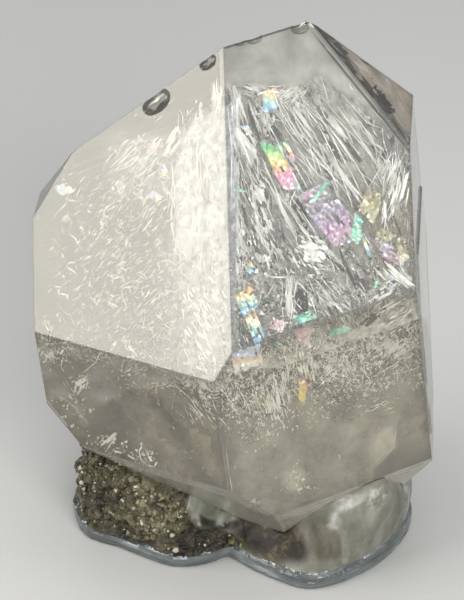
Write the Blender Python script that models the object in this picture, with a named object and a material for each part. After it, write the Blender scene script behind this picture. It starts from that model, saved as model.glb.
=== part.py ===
"""A doubly terminated quartz crystal of Herkimer diamond habit, standing on a rough quartz base.

Two separate stones: the clear crystal, and the lump of quartz covered in small points that it rests
in. Lengths in the constants are millimetres and the model is built in metres, with +Z up and the
origin on the bottom plane, under the middle of the object. The crystal is built from its own faces:
every face stands at quartz's true angle and at its own distance from the crystal's centre.
"""
import random
from functools import cache
from math import atan, cos, hypot, pi, radians, sin, sqrt

import bmesh
import bpy
from mathutils import Matrix, Vector, noise

MM = 0.001
SEED = 7
QUARTZ_IOR = 1.544
CLEAR_COLOUR = (0.93, 0.93, 0.91)
STONE_COLOUR = (0.42, 0.38, 0.31)

# Quartz: the ratio of its c axis to its a axis sets how steep the terminations are.
AXIS_RATIO = 1.1001
RHOMB_TILT = atan(AXIS_RATIO * 2 / sqrt(3))

# The block that the crystal is cut from, larger than the crystal on every side.
BLOCK_SIZE = 200

# How the crystal stands: its centre above the bottom plane, its lean and its turn about its own axis.
CRYSTAL_CENTRE = (-0.45, 1.9, 28.2)
LEAN_LEFT = 6.5
LEAN_FRONT = 0.8
TURN = -124.9

# Distance of each face from the crystal's centre. The letter is the form: t for the rhombohedral
# faces of the upper termination, m for the prism, b for the rhombohedral faces of the lower
# termination. The number is the direction of the face round the axis, in degrees.
FACE_DISTANCE = {
    "t0": 19.3,
    "t60": 21.5,
    "t120": 30.2,
    "t180": 29.6,
    "t240": 19.8,
    "t300": 26.0,
    "m0": 21.2,
    "m60": 21.7,
    "m120": 23.0,
    "m180": 22.2,
    "m240": 15.8,
    "m300": 21.8,
    "b0": 23.2,
    "b60": 27.1,
    "b120": 28.6,
    "b180": 16.7,
    "b240": 4.8,
    "b300": 20.7,
}

# Growth plates: thin raised terraces on a face, each with the crystal's own outline drawn in.
# Face, how far it stands proud, and how far it is drawn in from each neighbouring face. From faces
# that aren't listed it is drawn in by the plain inset.
GROWTH_PLATES = (
    ("t240", 0.30, {"t180": 2.2, "t0": 2.6, "t60": 2.0, "t300": 3.4, "m240": 2.2, "m180": 3.0, "m300": 3.0}),
    ("t240", 0.55, {"t180": 4.4, "t0": 6.5, "t60": 4.8, "t300": 6.0, "m240": 5.0, "m180": 6.0, "m300": 9.0}),
    ("m180", 0.35, {"t180": 2.4, "t240": 3.6, "b180": 2.6, "b120": 3.0, "m120": 3.2, "b240": 3.4}),
    ("m300", 0.30, {"t300": 2.6, "t240": 2.2, "t0": 2.0, "b300": 2.4, "b240": 3.0, "m0": 3.4, "m240": 2.4}),
    ("m120", 0.22, {"t120": 7.0, "t60": 3.6, "m60": 1.2, "b60": 2.0, "b120": 2.0, "m180": 1.4, "b180": 1.0}),
    ("b180", 0.30, {"m180": 2.4, "m120": 2.6, "b120": 3.0, "b240": 3.6, "b60": 9.0}),
)
PLATE_INSET = 1.5

# Shell-shaped chips knocked out of the edges: the two faces that meet there, the place along X,
# how far onto the first face the scoop is centred, its radius and its depth.
CHIPS = (
    ("t0", "t240", -9.0, 1.05, 2.6, 0.52),
    ("t0", "t240", -10.3, 0.95, 1.7, 0.38),
    ("t0", "t240", -3.4, 0.55, 1.3, 0.30),
    ("t0", "t240", -14.4, 0.10, 1.2, 0.20),
    ("t0", "t240", -11.9, 0.10, 0.8, 0.15),
    ("t60", "t240", 2.0, 0.05, 1.1, 0.30),
    ("t60", "t240", 0.4, 0.10, 0.7, 0.16),
    ("t60", "t240", 7.2, 0.45, 1.2, 0.34),
    ("t120", "t240", 8.6, 0.30, 1.1, 0.32),
    ("t120", "t180", 15.0, 0.20, 1.0, 0.20),
    ("t240", "m240", -6.0, 0.60, 1.9, 0.34),
    ("t240", "m180", 9.5, 0.40, 1.5, 0.30),
    ("m180", "b180", 16.5, 0.50, 1.8, 0.34),
    ("m300", "b300", -20.6, 0.20, 1.1, 0.22),
    ("m0", "b0", -13.0, 0.15, 0.9, 0.16),
)
CHIP_SIDES = 20
CHIP_RINGS = 10
CHIP_RIPPLES = 3
CHIP_RIPPLE_DEPTH = 0.035

# The base stone. Its foot is a clear layer with an upright edge, a little wider than the rest.
FOOT_BEVEL = 0.35
FOOT_TOP = 1.8
FOOT_STEP = 0.5
FOOT_RINGS = 4
ROOF_PEAK = (1.0, 3.8, 22.0)

# Its outline from above, going round from the left: the foot's X and Y, how far the wall leans in
# by its shoulder, and the height of the shoulder. The left lobe, a notch, the right lobe, the back.
BASE_OUTLINE = (
    (-20.0, 0.6, 4.2, 14.4),
    (-19.7, -4.0, 3.0, 15.2),
    (-18.0, -7.8, 2.3, 14.6),
    (-14.4, -9.7, 1.3, 14.0),
    (-10.5, -12.3, 1.4, 12.8),
    (-7.7, -13.8, 1.9, 11.6),
    (-4.9, -13.7, 1.8, 10.4),
    (-2.5, -12.7, 1.3, 10.2),
    (-0.8, -11.8, 0.8, 10.0),
    (2.3, -14.7, 2.6, 9.0),
    (5.2, -16.8, 3.7, 6.0),
    (7.4, -18.1, 3.4, 5.8),
    (9.4, -18.3, 2.6, 9.0),
    (11.9, -17.4, 1.4, 12.2),
    (14.2, -16.0, 0.5, 13.6),
    (16.6, -13.9, -1.2, 14.2),
    (18.9, -11.0, -0.4, 12.6),
    (21.1, -6.6, 0.5, 11.2),
    (21.7, -3.1, 0.6, 10.5),
    (21.3, 1.9, 1.4, 10.5),
    (19.8, 6.4, 1.0, 12.0),
    (15.0, 10.2, 2.4, 12.4),
    (11.0, 14.1, 1.8, 13.8),
    (4.6, 14.4, 3.2, 14.6),
    (-0.6, 16.4, 2.2, 16.2),
    (-6.4, 14.6, 3.0, 14.4),
    (-12.2, 12.8, 1.6, 14.8),
    (-17.6, 6.6, 2.8, 12.8),
)
OUTLINE_STEPS = 2
WALL_RINGS = 5
WALL_BULGE = 0.5
ROOF_RINGS = 6
ROUGHNESS = 0.9
SMOOTH_LOBE_ROUGHNESS = 0.35
ROUGHNESS_SIZE = 4.2

# The smooth right lobe of the base is what lies right of the first value and in front of the second.
SMOOTH_LOBE_FROM_X = 1.5
SMOOTH_LOBE_TO_Y = 4.0

# The gap that the base leaves all round the crystal.
POCKET_GAP = 0.3

# Small quartz points fused all over the left lobe and the back, most of them in front. They are
# joined on in layers, and the points of one layer are clear of each other. The root, the shoulder
# and the tip are multiples of a point's radius, and so are the two clearances between points.
DRUSE_COUNT = 165
DRUSE_TRIES = 3300
DRUSE_LAYERS = 4
DRUSE_RADIUS = (0.45, 1.25)
DRUSE_ROOT = 1.2
DRUSE_SHOULDER = 0.25
DRUSE_TIP = 0.8
DRUSE_SWAY = 0.5
DRUSE_FRONT_SHARE = 4.5
DRUSE_CLEAR_OF_CRYSTAL = 0.4
DRUSE_CLEAR_OF_OTHERS = 0.75
DRUSE_CLEAR_IN_LAYER = 1.5

# Larger quartz points of the base: where their axis leaves the stone, the direction they lean in
# seen from above, how far they lean from upright in degrees, and their radius. The shoulder and the
# tip are multiples of the radius.
LARGE_POINTS = (
    (13.5, 10.2, 9.0, 45, 62, 2.6),
    (6.5, 13.2, 11.5, 80, 48, 3.2),
    (-4.0, 13.7, 10.0, 105, 58, 2.8),
    (-11.0, 11.2, 10.5, 130, 50, 3.0),
    (-17.0, 5.7, 9.5, 165, 66, 2.2),
    (19.0, 2.7, 6.5, 10, 70, 2.0),
    (0.5, 11.7, 17.0, 95, 30, 2.4),
    (9.5, 7.7, 16.0, 60, 28, 2.2),
)
LARGE_POINT_ROOT = 3.0
LARGE_POINT_SHOULDER = 0.5
LARGE_POINT_TIP = 0.95

# An upright point set in the front of the right lobe, seen as a glassy arch there.
ARCH_PLACE = (10.9, -15.4, 4.6)
ARCH_RADIUS = 2.6
ARCH_ROOT = 0.3
ARCH_SHOULDER = 3.8
ARCH_TIP = 2.0


def clear_scene():
    for old in list(bpy.data.objects):
        bpy.data.objects.remove(old, do_unlink=True)


def crystal_frame():
    """The rotation from the crystal's own axes, with c upwards, to the object's axes."""
    lean = Matrix.Rotation(radians(-LEAN_LEFT), 3, "Y")
    tip = Matrix.Rotation(radians(LEAN_FRONT), 3, "X")
    turn = Matrix.Rotation(radians(TURN), 3, "Z")
    return lean @ tip @ turn


def face_normal(face):
    """The outward direction of a named face, in the object's axes."""
    form = face[0]
    around = radians(int(face[1:]))
    if form == "m":
        own = Vector((cos(around), sin(around), 0))
    else:
        up = cos(RHOMB_TILT) if form == "t" else -cos(RHOMB_TILT)
        own = Vector((sin(RHOMB_TILT) * cos(around), sin(RHOMB_TILT) * sin(around), up))
    return crystal_frame() @ own


def cut_crystal(distances):
    """The closed solid inside all the named faces, as a bmesh in metres."""
    centre = Vector(CRYSTAL_CENTRE) * MM
    mesh = bmesh.new()
    bmesh.ops.create_cube(mesh, size=BLOCK_SIZE * MM, matrix=Matrix.Translation(centre))
    for face, distance in distances.items():
        normal = face_normal(face)
        cut = bmesh.ops.bisect_plane(
            mesh,
            geom=mesh.verts[:] + mesh.edges[:] + mesh.faces[:],
            dist=1e-8,
            plane_co=centre + normal * distance * MM,
            plane_no=normal,
            clear_outer=True,
        )
        rim = [item for item in cut["geom_cut"] if isinstance(item, bmesh.types.BMEdge)]
        if rim:
            bmesh.ops.contextual_create(mesh, geom=rim)
    bmesh.ops.recalc_face_normals(mesh, faces=mesh.faces[:])
    return mesh


def glass(name, colour, roughness, transmission):
    material = bpy.data.materials.new(name)
    material.use_nodes = True
    shader = material.node_tree.nodes["Principled BSDF"]
    shader.inputs["Base Color"].default_value = (*colour, 1)
    shader.inputs["Roughness"].default_value = roughness
    shader.inputs["Metallic"].default_value = 0
    shader.inputs["IOR"].default_value = QUARTZ_IOR
    shader.inputs["Transmission Weight"].default_value = transmission
    return material


def add_object(name, mesh, material=None):
    data = bpy.data.meshes.new(name)
    mesh.to_mesh(data)
    mesh.free()
    new = bpy.data.objects.new(name, data)
    bpy.context.collection.objects.link(new)
    if material:
        data.materials.append(material)
    return new


def add_tool(name, mesh):
    """A shape that only joins or cuts another one."""
    tool = add_object(name, mesh)
    tool.hide_render = True
    tool.display_type = "WIRE"
    return tool


def boolean(target, tool, operation, solver="EXACT"):
    modifier = target.modifiers.new(tool.name, "BOOLEAN")
    modifier.object = tool
    modifier.operation = operation
    modifier.solver = solver


def along(direction):
    """The rotation that turns +Z to a direction."""
    return direction.to_track_quat("Z", "Y").to_matrix().to_4x4()


def edge_point(first, second, x):
    """The point of the edge between two faces that lies at a given X, in metres."""
    centre = Vector(CRYSTAL_CENTRE)
    rows = Matrix((face_normal(first), face_normal(second), Vector((1, 0, 0))))
    offsets = Vector((FACE_DISTANCE[first], FACE_DISTANCE[second], x - centre.x))
    return (centre + rows.inverted() @ offsets) * MM


def chip_tool(place, outward, radius, depth):
    """A ball with faint rings, whose inner side leaves a shell-shaped scoop."""
    mesh = bmesh.new()
    rings = []
    for ring in range(1, CHIP_RINGS):
        fall = pi * ring / CHIP_RINGS
        reach = radius * (1 + CHIP_RIPPLE_DEPTH * cos(2 * CHIP_RIPPLES * fall))
        across = reach * sin(fall)
        row = []
        for side in range(CHIP_SIDES):
            turn = 2 * pi * side / CHIP_SIDES
            row.append(mesh.verts.new((across * cos(turn), across * sin(turn), -reach * cos(fall))))
        rings.append(row)
    end = radius * (1 + CHIP_RIPPLE_DEPTH)
    low = mesh.verts.new((0, 0, -end))
    high = mesh.verts.new((0, 0, end))
    for side in range(CHIP_SIDES):
        after = (side + 1) % CHIP_SIDES
        mesh.faces.new((low, rings[0][after], rings[0][side]))
        mesh.faces.new((high, rings[-1][side], rings[-1][after]))
        for lower, upper in zip(rings, rings[1:]):
            mesh.faces.new((lower[side], lower[after], upper[after], upper[side]))
    bmesh.ops.recalc_face_normals(mesh, faces=mesh.faces[:])
    stand_off = outward * (radius - depth) * MM
    mesh.transform(Matrix.Translation(place + stand_off) @ along(outward) @ Matrix.Scale(MM, 4))
    return mesh


def build_crystal():
    clear = glass("clear_quartz", CLEAR_COLOUR, 0.04, 1.0)
    crystal = add_object("crystal", cut_crystal(FACE_DISTANCE), clear)
    for number, (face, proud, insets) in enumerate(GROWTH_PLATES):
        distances = {
            other: distance - insets.get(other, PLATE_INSET) for other, distance in FACE_DISTANCE.items()
        }
        distances[face] = FACE_DISTANCE[face] + proud
        boolean(crystal, add_tool(f"plate_{number}", cut_crystal(distances)), "UNION")
    for number, (first, second, x, onset, radius, depth) in enumerate(CHIPS):
        edge = face_normal(first).cross(face_normal(second)).normalized()
        onto_face = face_normal(first).cross(edge)
        place = edge_point(first, second, x) + onto_face * onset * MM
        tool = chip_tool(place, face_normal(first), radius, depth)
        boolean(crystal, add_tool(f"chip_{number}", tool), "DIFFERENCE")
    return crystal


def curve_through(points, steps):
    """Points on a smooth closed curve through the given rows of numbers."""
    rows = []
    count = len(points)
    for index in range(count):
        before, start, end, after = (points[(index + shift) % count] for shift in (-1, 0, 1, 2))
        for step in range(steps):
            t = step / steps
            row = []
            for a, b, c, d in zip(before, start, end, after):
                row.append(0.5 * (2 * b + (c - a) * t + (2 * a - 5 * b + 4 * c - d) * t * t
                                  + (3 * b - a - 3 * c + d) * t * t * t))
            rows.append(row)
    return rows


def inwards(x, y, distance):
    """A point moved a distance towards the roof's peak, seen from above."""
    peak_x, peak_y, _ = ROOF_PEAK
    span = hypot(peak_x - x, peak_y - y)
    return x + (peak_x - x) * distance / span, y + (peak_y - y) * distance / span


def is_druse_zone(point):
    """The left lobe and the back are covered with small points, the right lobe is smooth."""
    return point.x < SMOOTH_LOBE_FROM_X or point.y > SMOOTH_LOBE_TO_Y


def roughen(point, share=1.0):
    """The natural unevenness of the stone, as a push in all three directions."""
    amount = ROUGHNESS if is_druse_zone(point) else SMOOTH_LOBE_ROUGHNESS
    return point + noise.noise_vector(point / ROUGHNESS_SIZE) * amount * share


def base_rings():
    """The rings of the base from its bottom edge to the top, each a list of points in millimetres."""
    noise.seed_set(SEED)
    outline = curve_through(BASE_OUTLINE, OUTLINE_STEPS)
    rings = [[] for _ in range(FOOT_RINGS + WALL_RINGS + ROOF_RINGS)]
    peak = Vector(ROOF_PEAK)
    for x, y, lean, shoulder in outline:
        rings[0].append(Vector((*inwards(x, y, FOOT_BEVEL), 0)))
        rings[1].append(Vector((x, y, FOOT_BEVEL)))
        rings[2].append(Vector((x, y, FOOT_TOP)))
        rings[3].append(Vector((*inwards(x, y, FOOT_STEP), FOOT_TOP)))
        foot = Vector((*inwards(x, y, FOOT_STEP), FOOT_TOP))
        top = Vector((*inwards(x, y, lean), shoulder))
        for ring in range(WALL_RINGS):
            share = (ring + 1) / WALL_RINGS
            bulge = WALL_BULGE * sin(pi * share)
            point = foot.lerp(top, share)
            point = Vector((*inwards(point.x, point.y, -bulge), point.z))
            rings[FOOT_RINGS + ring].append(roughen(point, sqrt(share)))
        for ring in range(ROOF_RINGS):
            share = (ring + 1) / (ROOF_RINGS + 1)
            point = top.lerp(peak, share)
            point.z = shoulder + (peak.z - shoulder) * sin(share * pi / 2)
            rings[FOOT_RINGS + WALL_RINGS + ring].append(roughen(point))
    return rings


def base_body(rings):
    mesh = bmesh.new()
    rows = [[mesh.verts.new(point * MM) for point in ring] for ring in rings]
    top = mesh.verts.new(Vector(ROOF_PEAK) * MM)
    count = len(rows[0])
    mesh.faces.new(list(reversed(rows[0])))
    for side in range(count):
        after = (side + 1) % count
        for lower, upper in zip(rows, rows[1:]):
            mesh.faces.new((lower[side], lower[after], upper[after], upper[side]))
        mesh.faces.new((rows[-1][side], rows[-1][after], top))
    bmesh.ops.recalc_face_normals(mesh, faces=mesh.faces[:])
    return mesh


def quartz_point_corners(place, direction, spin, radius, root, shoulder, tip):
    """The thirteen corners of a six-sided prism with a six-sided point, in millimetres."""
    turn = Matrix.Translation(place) @ along(direction) @ Matrix.Rotation(spin, 4, "Z")
    corners = []
    for height in (-root, shoulder):
        for side in range(6):
            around = side * pi / 3
            corners.append(turn @ Vector((radius * cos(around), radius * sin(around), height)))
    corners.append(turn @ Vector((0, 0, shoulder + tip)))
    return corners


def add_quartz_point(mesh, corners):
    verts = [mesh.verts.new(corner * MM) for corner in corners]
    low = verts[:6]
    high = verts[6:12]
    mesh.faces.new(list(reversed(low)))
    for side in range(6):
        after = (side + 1) % 6
        mesh.faces.new((low[side], low[after], high[after], high[side]))
        mesh.faces.new((high[side], high[after], verts[12]))


def distance_outside_crystal(point):
    """How far a point in millimetres lies outside the crystal, negative inside it."""
    offset = point - Vector(CRYSTAL_CENTRE)
    return max(normal.dot(offset) - distance for normal, distance in crystal_planes())


@cache
def crystal_planes():
    return [(face_normal(face), distance) for face, distance in FACE_DISTANCE.items()]


def surface_patches(rings):
    """The four-cornered patches of the base that carry druse, and how likely each is to get a point."""
    patches = []
    shares = []
    count = len(rings[0])
    for ring in range(FOOT_RINGS, len(rings) - 1):
        for side in range(count):
            after = (side + 1) % count
            patch = (rings[ring][side], rings[ring][after], rings[ring + 1][after], rings[ring + 1][side])
            if not is_druse_zone(patch[0]):
                continue
            area = (patch[2] - patch[0]).cross(patch[3] - patch[1]).length / 2
            patches.append(patch)
            shares.append(area * (DRUSE_FRONT_SHARE if patch[0].y < 0 else 1))
    return patches, shares


def small_points(rings):
    """The layers of small quartz points, scattered over the walls and the roof of the base."""
    dice = random.Random(SEED)
    patches, shares = surface_patches(rings)
    layers = [[] for _ in range(DRUSE_LAYERS)]
    meshes = [bmesh.new() for _ in range(DRUSE_LAYERS)]
    for _ in range(DRUSE_TRIES):
        if sum(len(layer) for layer in layers) == DRUSE_COUNT:
            break
        start, beside, across, above = dice.choices(patches, shares)[0]
        low = start.lerp(beside, dice.random())
        high = above.lerp(across, dice.random())
        spot = low.lerp(high, dice.random())
        radius = dice.uniform(*DRUSE_RADIUS)
        outward = (beside - start).cross(above - start).normalized()
        sway = Vector((dice.uniform(-1, 1), dice.uniform(-1, 1), dice.uniform(-0.6, 1)))
        direction = (outward + DRUSE_SWAY * sway).normalized()
        heights = (DRUSE_ROOT * radius, DRUSE_SHOULDER * radius, DRUSE_TIP * radius)
        corners = quartz_point_corners(spot, direction, dice.uniform(0, pi), radius, *heights)
        if min(corner.z for corner in corners) < FOOT_TOP + FOOT_BEVEL:
            continue
        if min(distance_outside_crystal(corner) for corner in corners) < DRUSE_CLEAR_OF_CRYSTAL:
            continue
        others = [other for layer in layers for other in layer]
        if any((spot - place).length < DRUSE_CLEAR_OF_OTHERS * (radius + size) for place, size in others):
            continue
        for layer, mesh in zip(layers, meshes):
            if all((spot - place).length > DRUSE_CLEAR_IN_LAYER * (radius + size) for place, size in layer):
                layer.append((spot, radius))
                add_quartz_point(mesh, corners)
                break
    for mesh in meshes:
        bmesh.ops.recalc_face_normals(mesh, faces=mesh.faces[:])
    return meshes


def large_points():
    mesh = bmesh.new()
    for x, y, z, towards, lean, radius in LARGE_POINTS:
        direction = Vector((0, 0, 1))
        direction.rotate(Matrix.Rotation(radians(lean), 3, "Y"))
        direction.rotate(Matrix.Rotation(radians(towards), 3, "Z"))
        heights = (LARGE_POINT_ROOT, LARGE_POINT_SHOULDER * radius, LARGE_POINT_TIP * radius)
        place = Vector((x, y, z))
        add_quartz_point(mesh, quartz_point_corners(place, direction, radians(towards), radius, *heights))
    bmesh.ops.recalc_face_normals(mesh, faces=mesh.faces[:])
    return mesh


def arch_point():
    mesh = bmesh.new()
    heights = (ARCH_ROOT, ARCH_SHOULDER, ARCH_TIP)
    upright = Vector((0, 0, 1))
    add_quartz_point(mesh, quartz_point_corners(Vector(ARCH_PLACE), upright, 0.0, ARCH_RADIUS, *heights))
    bmesh.ops.recalc_face_normals(mesh, faces=mesh.faces[:])
    return mesh


def pocket():
    """The room that the crystal takes in the base, with a gap all round."""
    return cut_crystal({face: distance + POCKET_GAP for face, distance in FACE_DISTANCE.items()})


def build_base():
    stone = glass("base_quartz", STONE_COLOUR, 0.35, 0.35)
    rings = base_rings()
    base = add_object("base_stone", base_body(rings), stone)
    boolean(base, add_tool("arch", arch_point()), "UNION")
    boolean(base, add_tool("large_points", large_points()), "UNION")
    boolean(base, add_tool("pocket", pocket()), "DIFFERENCE")
    for number, layer in enumerate(small_points(rings)):
        boolean(base, add_tool(f"druse_{number}", layer), "UNION", solver="MANIFOLD")
    return base


def main():
    clear_scene()
    build_crystal()
    build_base()


main()
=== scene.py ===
"""A clear quartz crystal of Herkimer diamond habit on its rough quartz base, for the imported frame."""
import random
from math import atan, atan2, cos, degrees, hypot, pi, radians, sin, sqrt

import bmesh
import bpy
from mathutils import Matrix, Vector, noise
from mathutils.bvhtree import BVHTree


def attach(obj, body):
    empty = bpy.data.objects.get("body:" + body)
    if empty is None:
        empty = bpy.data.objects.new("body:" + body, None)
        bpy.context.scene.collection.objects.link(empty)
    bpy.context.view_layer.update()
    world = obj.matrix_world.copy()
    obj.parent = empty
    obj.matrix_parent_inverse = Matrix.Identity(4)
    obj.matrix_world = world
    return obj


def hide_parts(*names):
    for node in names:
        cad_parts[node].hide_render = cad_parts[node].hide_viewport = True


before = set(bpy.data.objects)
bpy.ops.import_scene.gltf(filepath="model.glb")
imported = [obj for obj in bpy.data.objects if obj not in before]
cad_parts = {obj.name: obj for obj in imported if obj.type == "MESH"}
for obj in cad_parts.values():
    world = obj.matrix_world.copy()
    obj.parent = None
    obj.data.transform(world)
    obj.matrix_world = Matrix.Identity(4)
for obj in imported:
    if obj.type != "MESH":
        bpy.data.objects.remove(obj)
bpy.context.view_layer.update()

MM = 0.001
dice = random.Random(21)
noise.seed_set(21)

# The crystal, as in the frame: quartz's own face angles, and each face's distance from the centre.
AXIS_RATIO = 1.1001
RHOMB_TILT = atan(AXIS_RATIO * 2 / sqrt(3))
QUARTZ_IOR = 1.544
CENTRE = Vector((-0.45, 1.9, 28.2))
LEAN_LEFT = 6.5
LEAN_FRONT = 0.8
TURN = -124.9
FACE_DISTANCE = {
    "t0": 19.3, "t60": 21.5, "t120": 30.2, "t180": 29.6, "t240": 19.8, "t300": 26.0,
    "m0": 21.2, "m60": 21.7, "m120": 23.0, "m180": 22.2, "m240": 15.8, "m300": 21.8,
    "b0": 23.2, "b60": 27.1, "b120": 28.6, "b180": 16.7, "b240": 4.8, "b300": 20.7,
}

# Growth plates: thin raised terraces on a face, how proud they stand, and the insets of their outline.
GROWTH_PLATES = (
    ("t240", 0.3,
     {"t180": 2.2, "t0": 2.6, "t60": 2.0, "t300": 3.4, "m240": 2.2, "m180": 3.0, "m300": 3.0}),
    ("t240", 0.55,
     {"t180": 4.4, "t0": 6.5, "t60": 4.8, "t300": 6.0, "m240": 5.0, "m180": 6.0, "m300": 9.0}),
    ("m180", 0.35, {"t180": 2.4, "t240": 3.6, "b180": 2.6, "b120": 3.0, "m120": 3.2, "b240": 3.4}),
    ("m300", 0.3, {"t300": 2.6, "t240": 2.2, "t0": 2.0, "b300": 2.4, "b240": 3.0, "m0": 3.4, "m240": 2.4}),
    ("m120", 0.22,
     {"t120": 7.0, "t60": 3.6, "m60": 1.2, "b60": 2.0, "b120": 2.0, "m180": 1.4, "b180": 1.0}),
    ("b180", 0.3, {"m180": 2.4, "m120": 2.6, "b120": 3.0, "b240": 3.6, "b60": 9.0}),
)
PLATE_INSET = 1.5

# Fine ledges along the upper edges of the lower faces: the face, how proud, the insets from its neighbours.
LEDGES = (
    ("b0", 0.07, {"m0": 0.55, "m60": 0.7, "b60": 0.5, "b300": 0.9, "b240": 0.5}),
    ("b0", 0.13, {"m0": 1.15, "m60": 1.3, "b60": 1.0, "b300": 1.8, "b240": 0.9}),
    ("b0", 0.18, {"m0": 1.6, "m60": 1.8, "b60": 1.5, "b300": 2.6, "b240": 1.2}),
    ("b60", 0.07, {"m60": 0.5, "m120": 0.8, "b0": 0.5, "b120": 0.9, "b240": 0.5}),
    ("b60", 0.13, {"m60": 0.95, "m120": 1.7, "b0": 1.0, "b120": 1.8, "b240": 0.9}),
    ("b60", 0.18, {"m60": 1.5, "m120": 2.6, "b0": 1.5, "b120": 2.6, "b240": 1.2}),
)

# Chips out of the edges: the two faces, the place along X, the shift onto the first face, radius, depth.
CHIPS = (
    ("t0", "t240", -9.5, 0.95, 2.3, 0.46),
    ("t0", "t240", -3.4, 0.55, 1.3, 0.3),
    ("t60", "t240", 2.0, 0.05, 1.1, 0.3),
    ("t60", "t240", 0.4, 0.1, 0.7, 0.16),
    ("t60", "t240", 7.2, 0.45, 1.2, 0.34),
    ("t120", "t240", 8.6, 0.3, 1.1, 0.32),
    ("t120", "t180", 15.0, 0.2, 1.0, 0.2),
    ("t240", "m240", -6.0, 0.6, 1.9, 0.34),
    ("t240", "m180", 9.5, 0.4, 1.5, 0.3),
    ("m180", "b180", 16.5, 0.5, 1.8, 0.34),
    ("m300", "b300", -20.6, 0.2, 1.1, 0.22),
    ("m0", "b0", -13.0, 0.15, 0.9, 0.16),
)
CHIP_RIPPLES = 6
CHIP_RIPPLE_DEPTH = 0.008
CHIP_STRETCH = 1.45
EDGE_WEAR = 0.11
MOST_PROUD = 0.7

# Thin-film colours and where they show: the ramp's stops, then pixel, length, width, angle and depth.
FLAKES = {
    "rainbow": (
        [(0.0, (0.1, 0.55, 0.32)), (0.2, (0.25, 0.72, 0.26)), (0.38, (0.86, 0.84, 0.25)),
         (0.5, (0.92, 0.5, 0.22)), (0.68, (0.78, 0.3, 0.56)), (0.85, (0.8, 0.55, 0.7)),
         (1.0, (0.22, 0.7, 0.66))],
        [(281, 167, 62, 19, 62, 0.35), (290, 152, 30, 6, 62, 0.4)],
    ),
    "violet": (
        [(0.0, (0.3, 0.34, 0.37)), (0.25, (0.34, 0.27, 0.42)), (0.5, (0.4, 0.26, 0.42)),
         (0.75, (0.52, 0.28, 0.42)), (1.0, (0.15, 0.52, 0.5))],
        [(335, 223, 58, 38, 56, 0.32), (314, 196, 34, 20, 150, 0.6), (392, 254, 34, 16, 32, 0.5)],
    ),
    "green": (
        [(0.0, (0.08, 0.45, 0.38)), (0.5, (0.18, 0.72, 0.5)), (1.0, (0.55, 0.88, 0.72))],
        [(320, 192, 34, 6, 128, 0.3), (357, 229, 32, 12, 100, 0.3), (305, 317, 24, 11, -20, 0.4),
         (340, 331, 24, 9, -28, 0.4), (277, 344, 9, 8, 0, 0.8), (372, 262, 10, 4, 100, 0.8),
         (240, 190, 5, 16, 90, 0.7), (376, 283, 5, 12, 10, 0.9)],
    ),
    "rose": (
        [(0.0, (0.62, 0.3, 0.36)), (0.5, (0.85, 0.55, 0.62)), (1.0, (0.93, 0.78, 0.78))],
        [(157, 144, 20, 13, -50, 0.35), (303, 334, 24, 17, 30, 0.8), (277, 325, 18, 15, 20, 0.8),
         (375, 100, 12, 7, -40, 1.0), (372, 247, 8, 18, 60, 0.9)],
    ),
    "fan": (
        [(0.0, (0.9, 0.42, 0.12)), (0.3, (0.96, 0.82, 0.42)), (0.55, (0.45, 0.82, 0.68)),
         (0.8, (0.25, 0.6, 0.92)), (1.0, (0.18, 0.35, 0.85))],
        [(247, 301, 28, 22, 70, 0.6), (255, 327, 36, 16, 66, 0.5), (270, 100, 26, 18, 88, 0.6),
         (366, 245, 30, 5, 72, 0.6), (388, 277, 14, 4, 40, 0.8), (250, 268, 14, 10, 60, 0.9),
         (381, 80, 10, 6, 20, 0.9)],
    ),
    "amber": (
        [(0.0, (0.3, 0.36, 0.75)), (0.15, (0.9, 0.42, 0.22)), (0.4, (0.96, 0.62, 0.14)),
         (0.75, (0.98, 0.84, 0.22)), (1.0, (0.96, 0.78, 0.35))],
        [(303, 391, 28, 9, 100, 0.25), (300, 384, 12, 5, 80, 0.25)],
    ),
    "gold": (
        [(0.0, (0.16, 0.15, 0.06)), (0.5, (0.4, 0.37, 0.16)), (1.0, (0.7, 0.68, 0.48))],
        [(371, 204, 34, 24, 110, 0.35), (402, 250, 30, 13, 80, 0.5), (385, 235, 20, 13, 30, 0.6),
         (257, 400, 16, 10, 60, 0.6)],
    ),
    "sky": (
        [(0.0, (0.9, 0.93, 0.96)), (0.25, (0.38, 0.6, 0.95)), (0.42, (0.72, 0.72, 0.93)),
         (0.54, (0.96, 0.6, 0.36)), (0.68, (0.96, 0.92, 0.84)), (1.0, (0.92, 0.94, 0.96))],
        [(247, 358, 27, 36, 78, 0.3), (247, 130, 14, 9, 60, 0.8)],
    ),
    "pale": (
        [(0.0, (0.22, 0.5, 0.78)), (0.4, (0.42, 0.5, 0.76)), (0.6, (0.74, 0.52, 0.62)),
         (0.8, (0.92, 0.76, 0.42)), (1.0, (0.86, 0.85, 0.78))],
        [(64, 189, 17, 15, -25, 0.5), (164, 170, 13, 8, 65, 0.6), (155, 196, 16, 10, 35, 0.6)],
    ),
}

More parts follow.
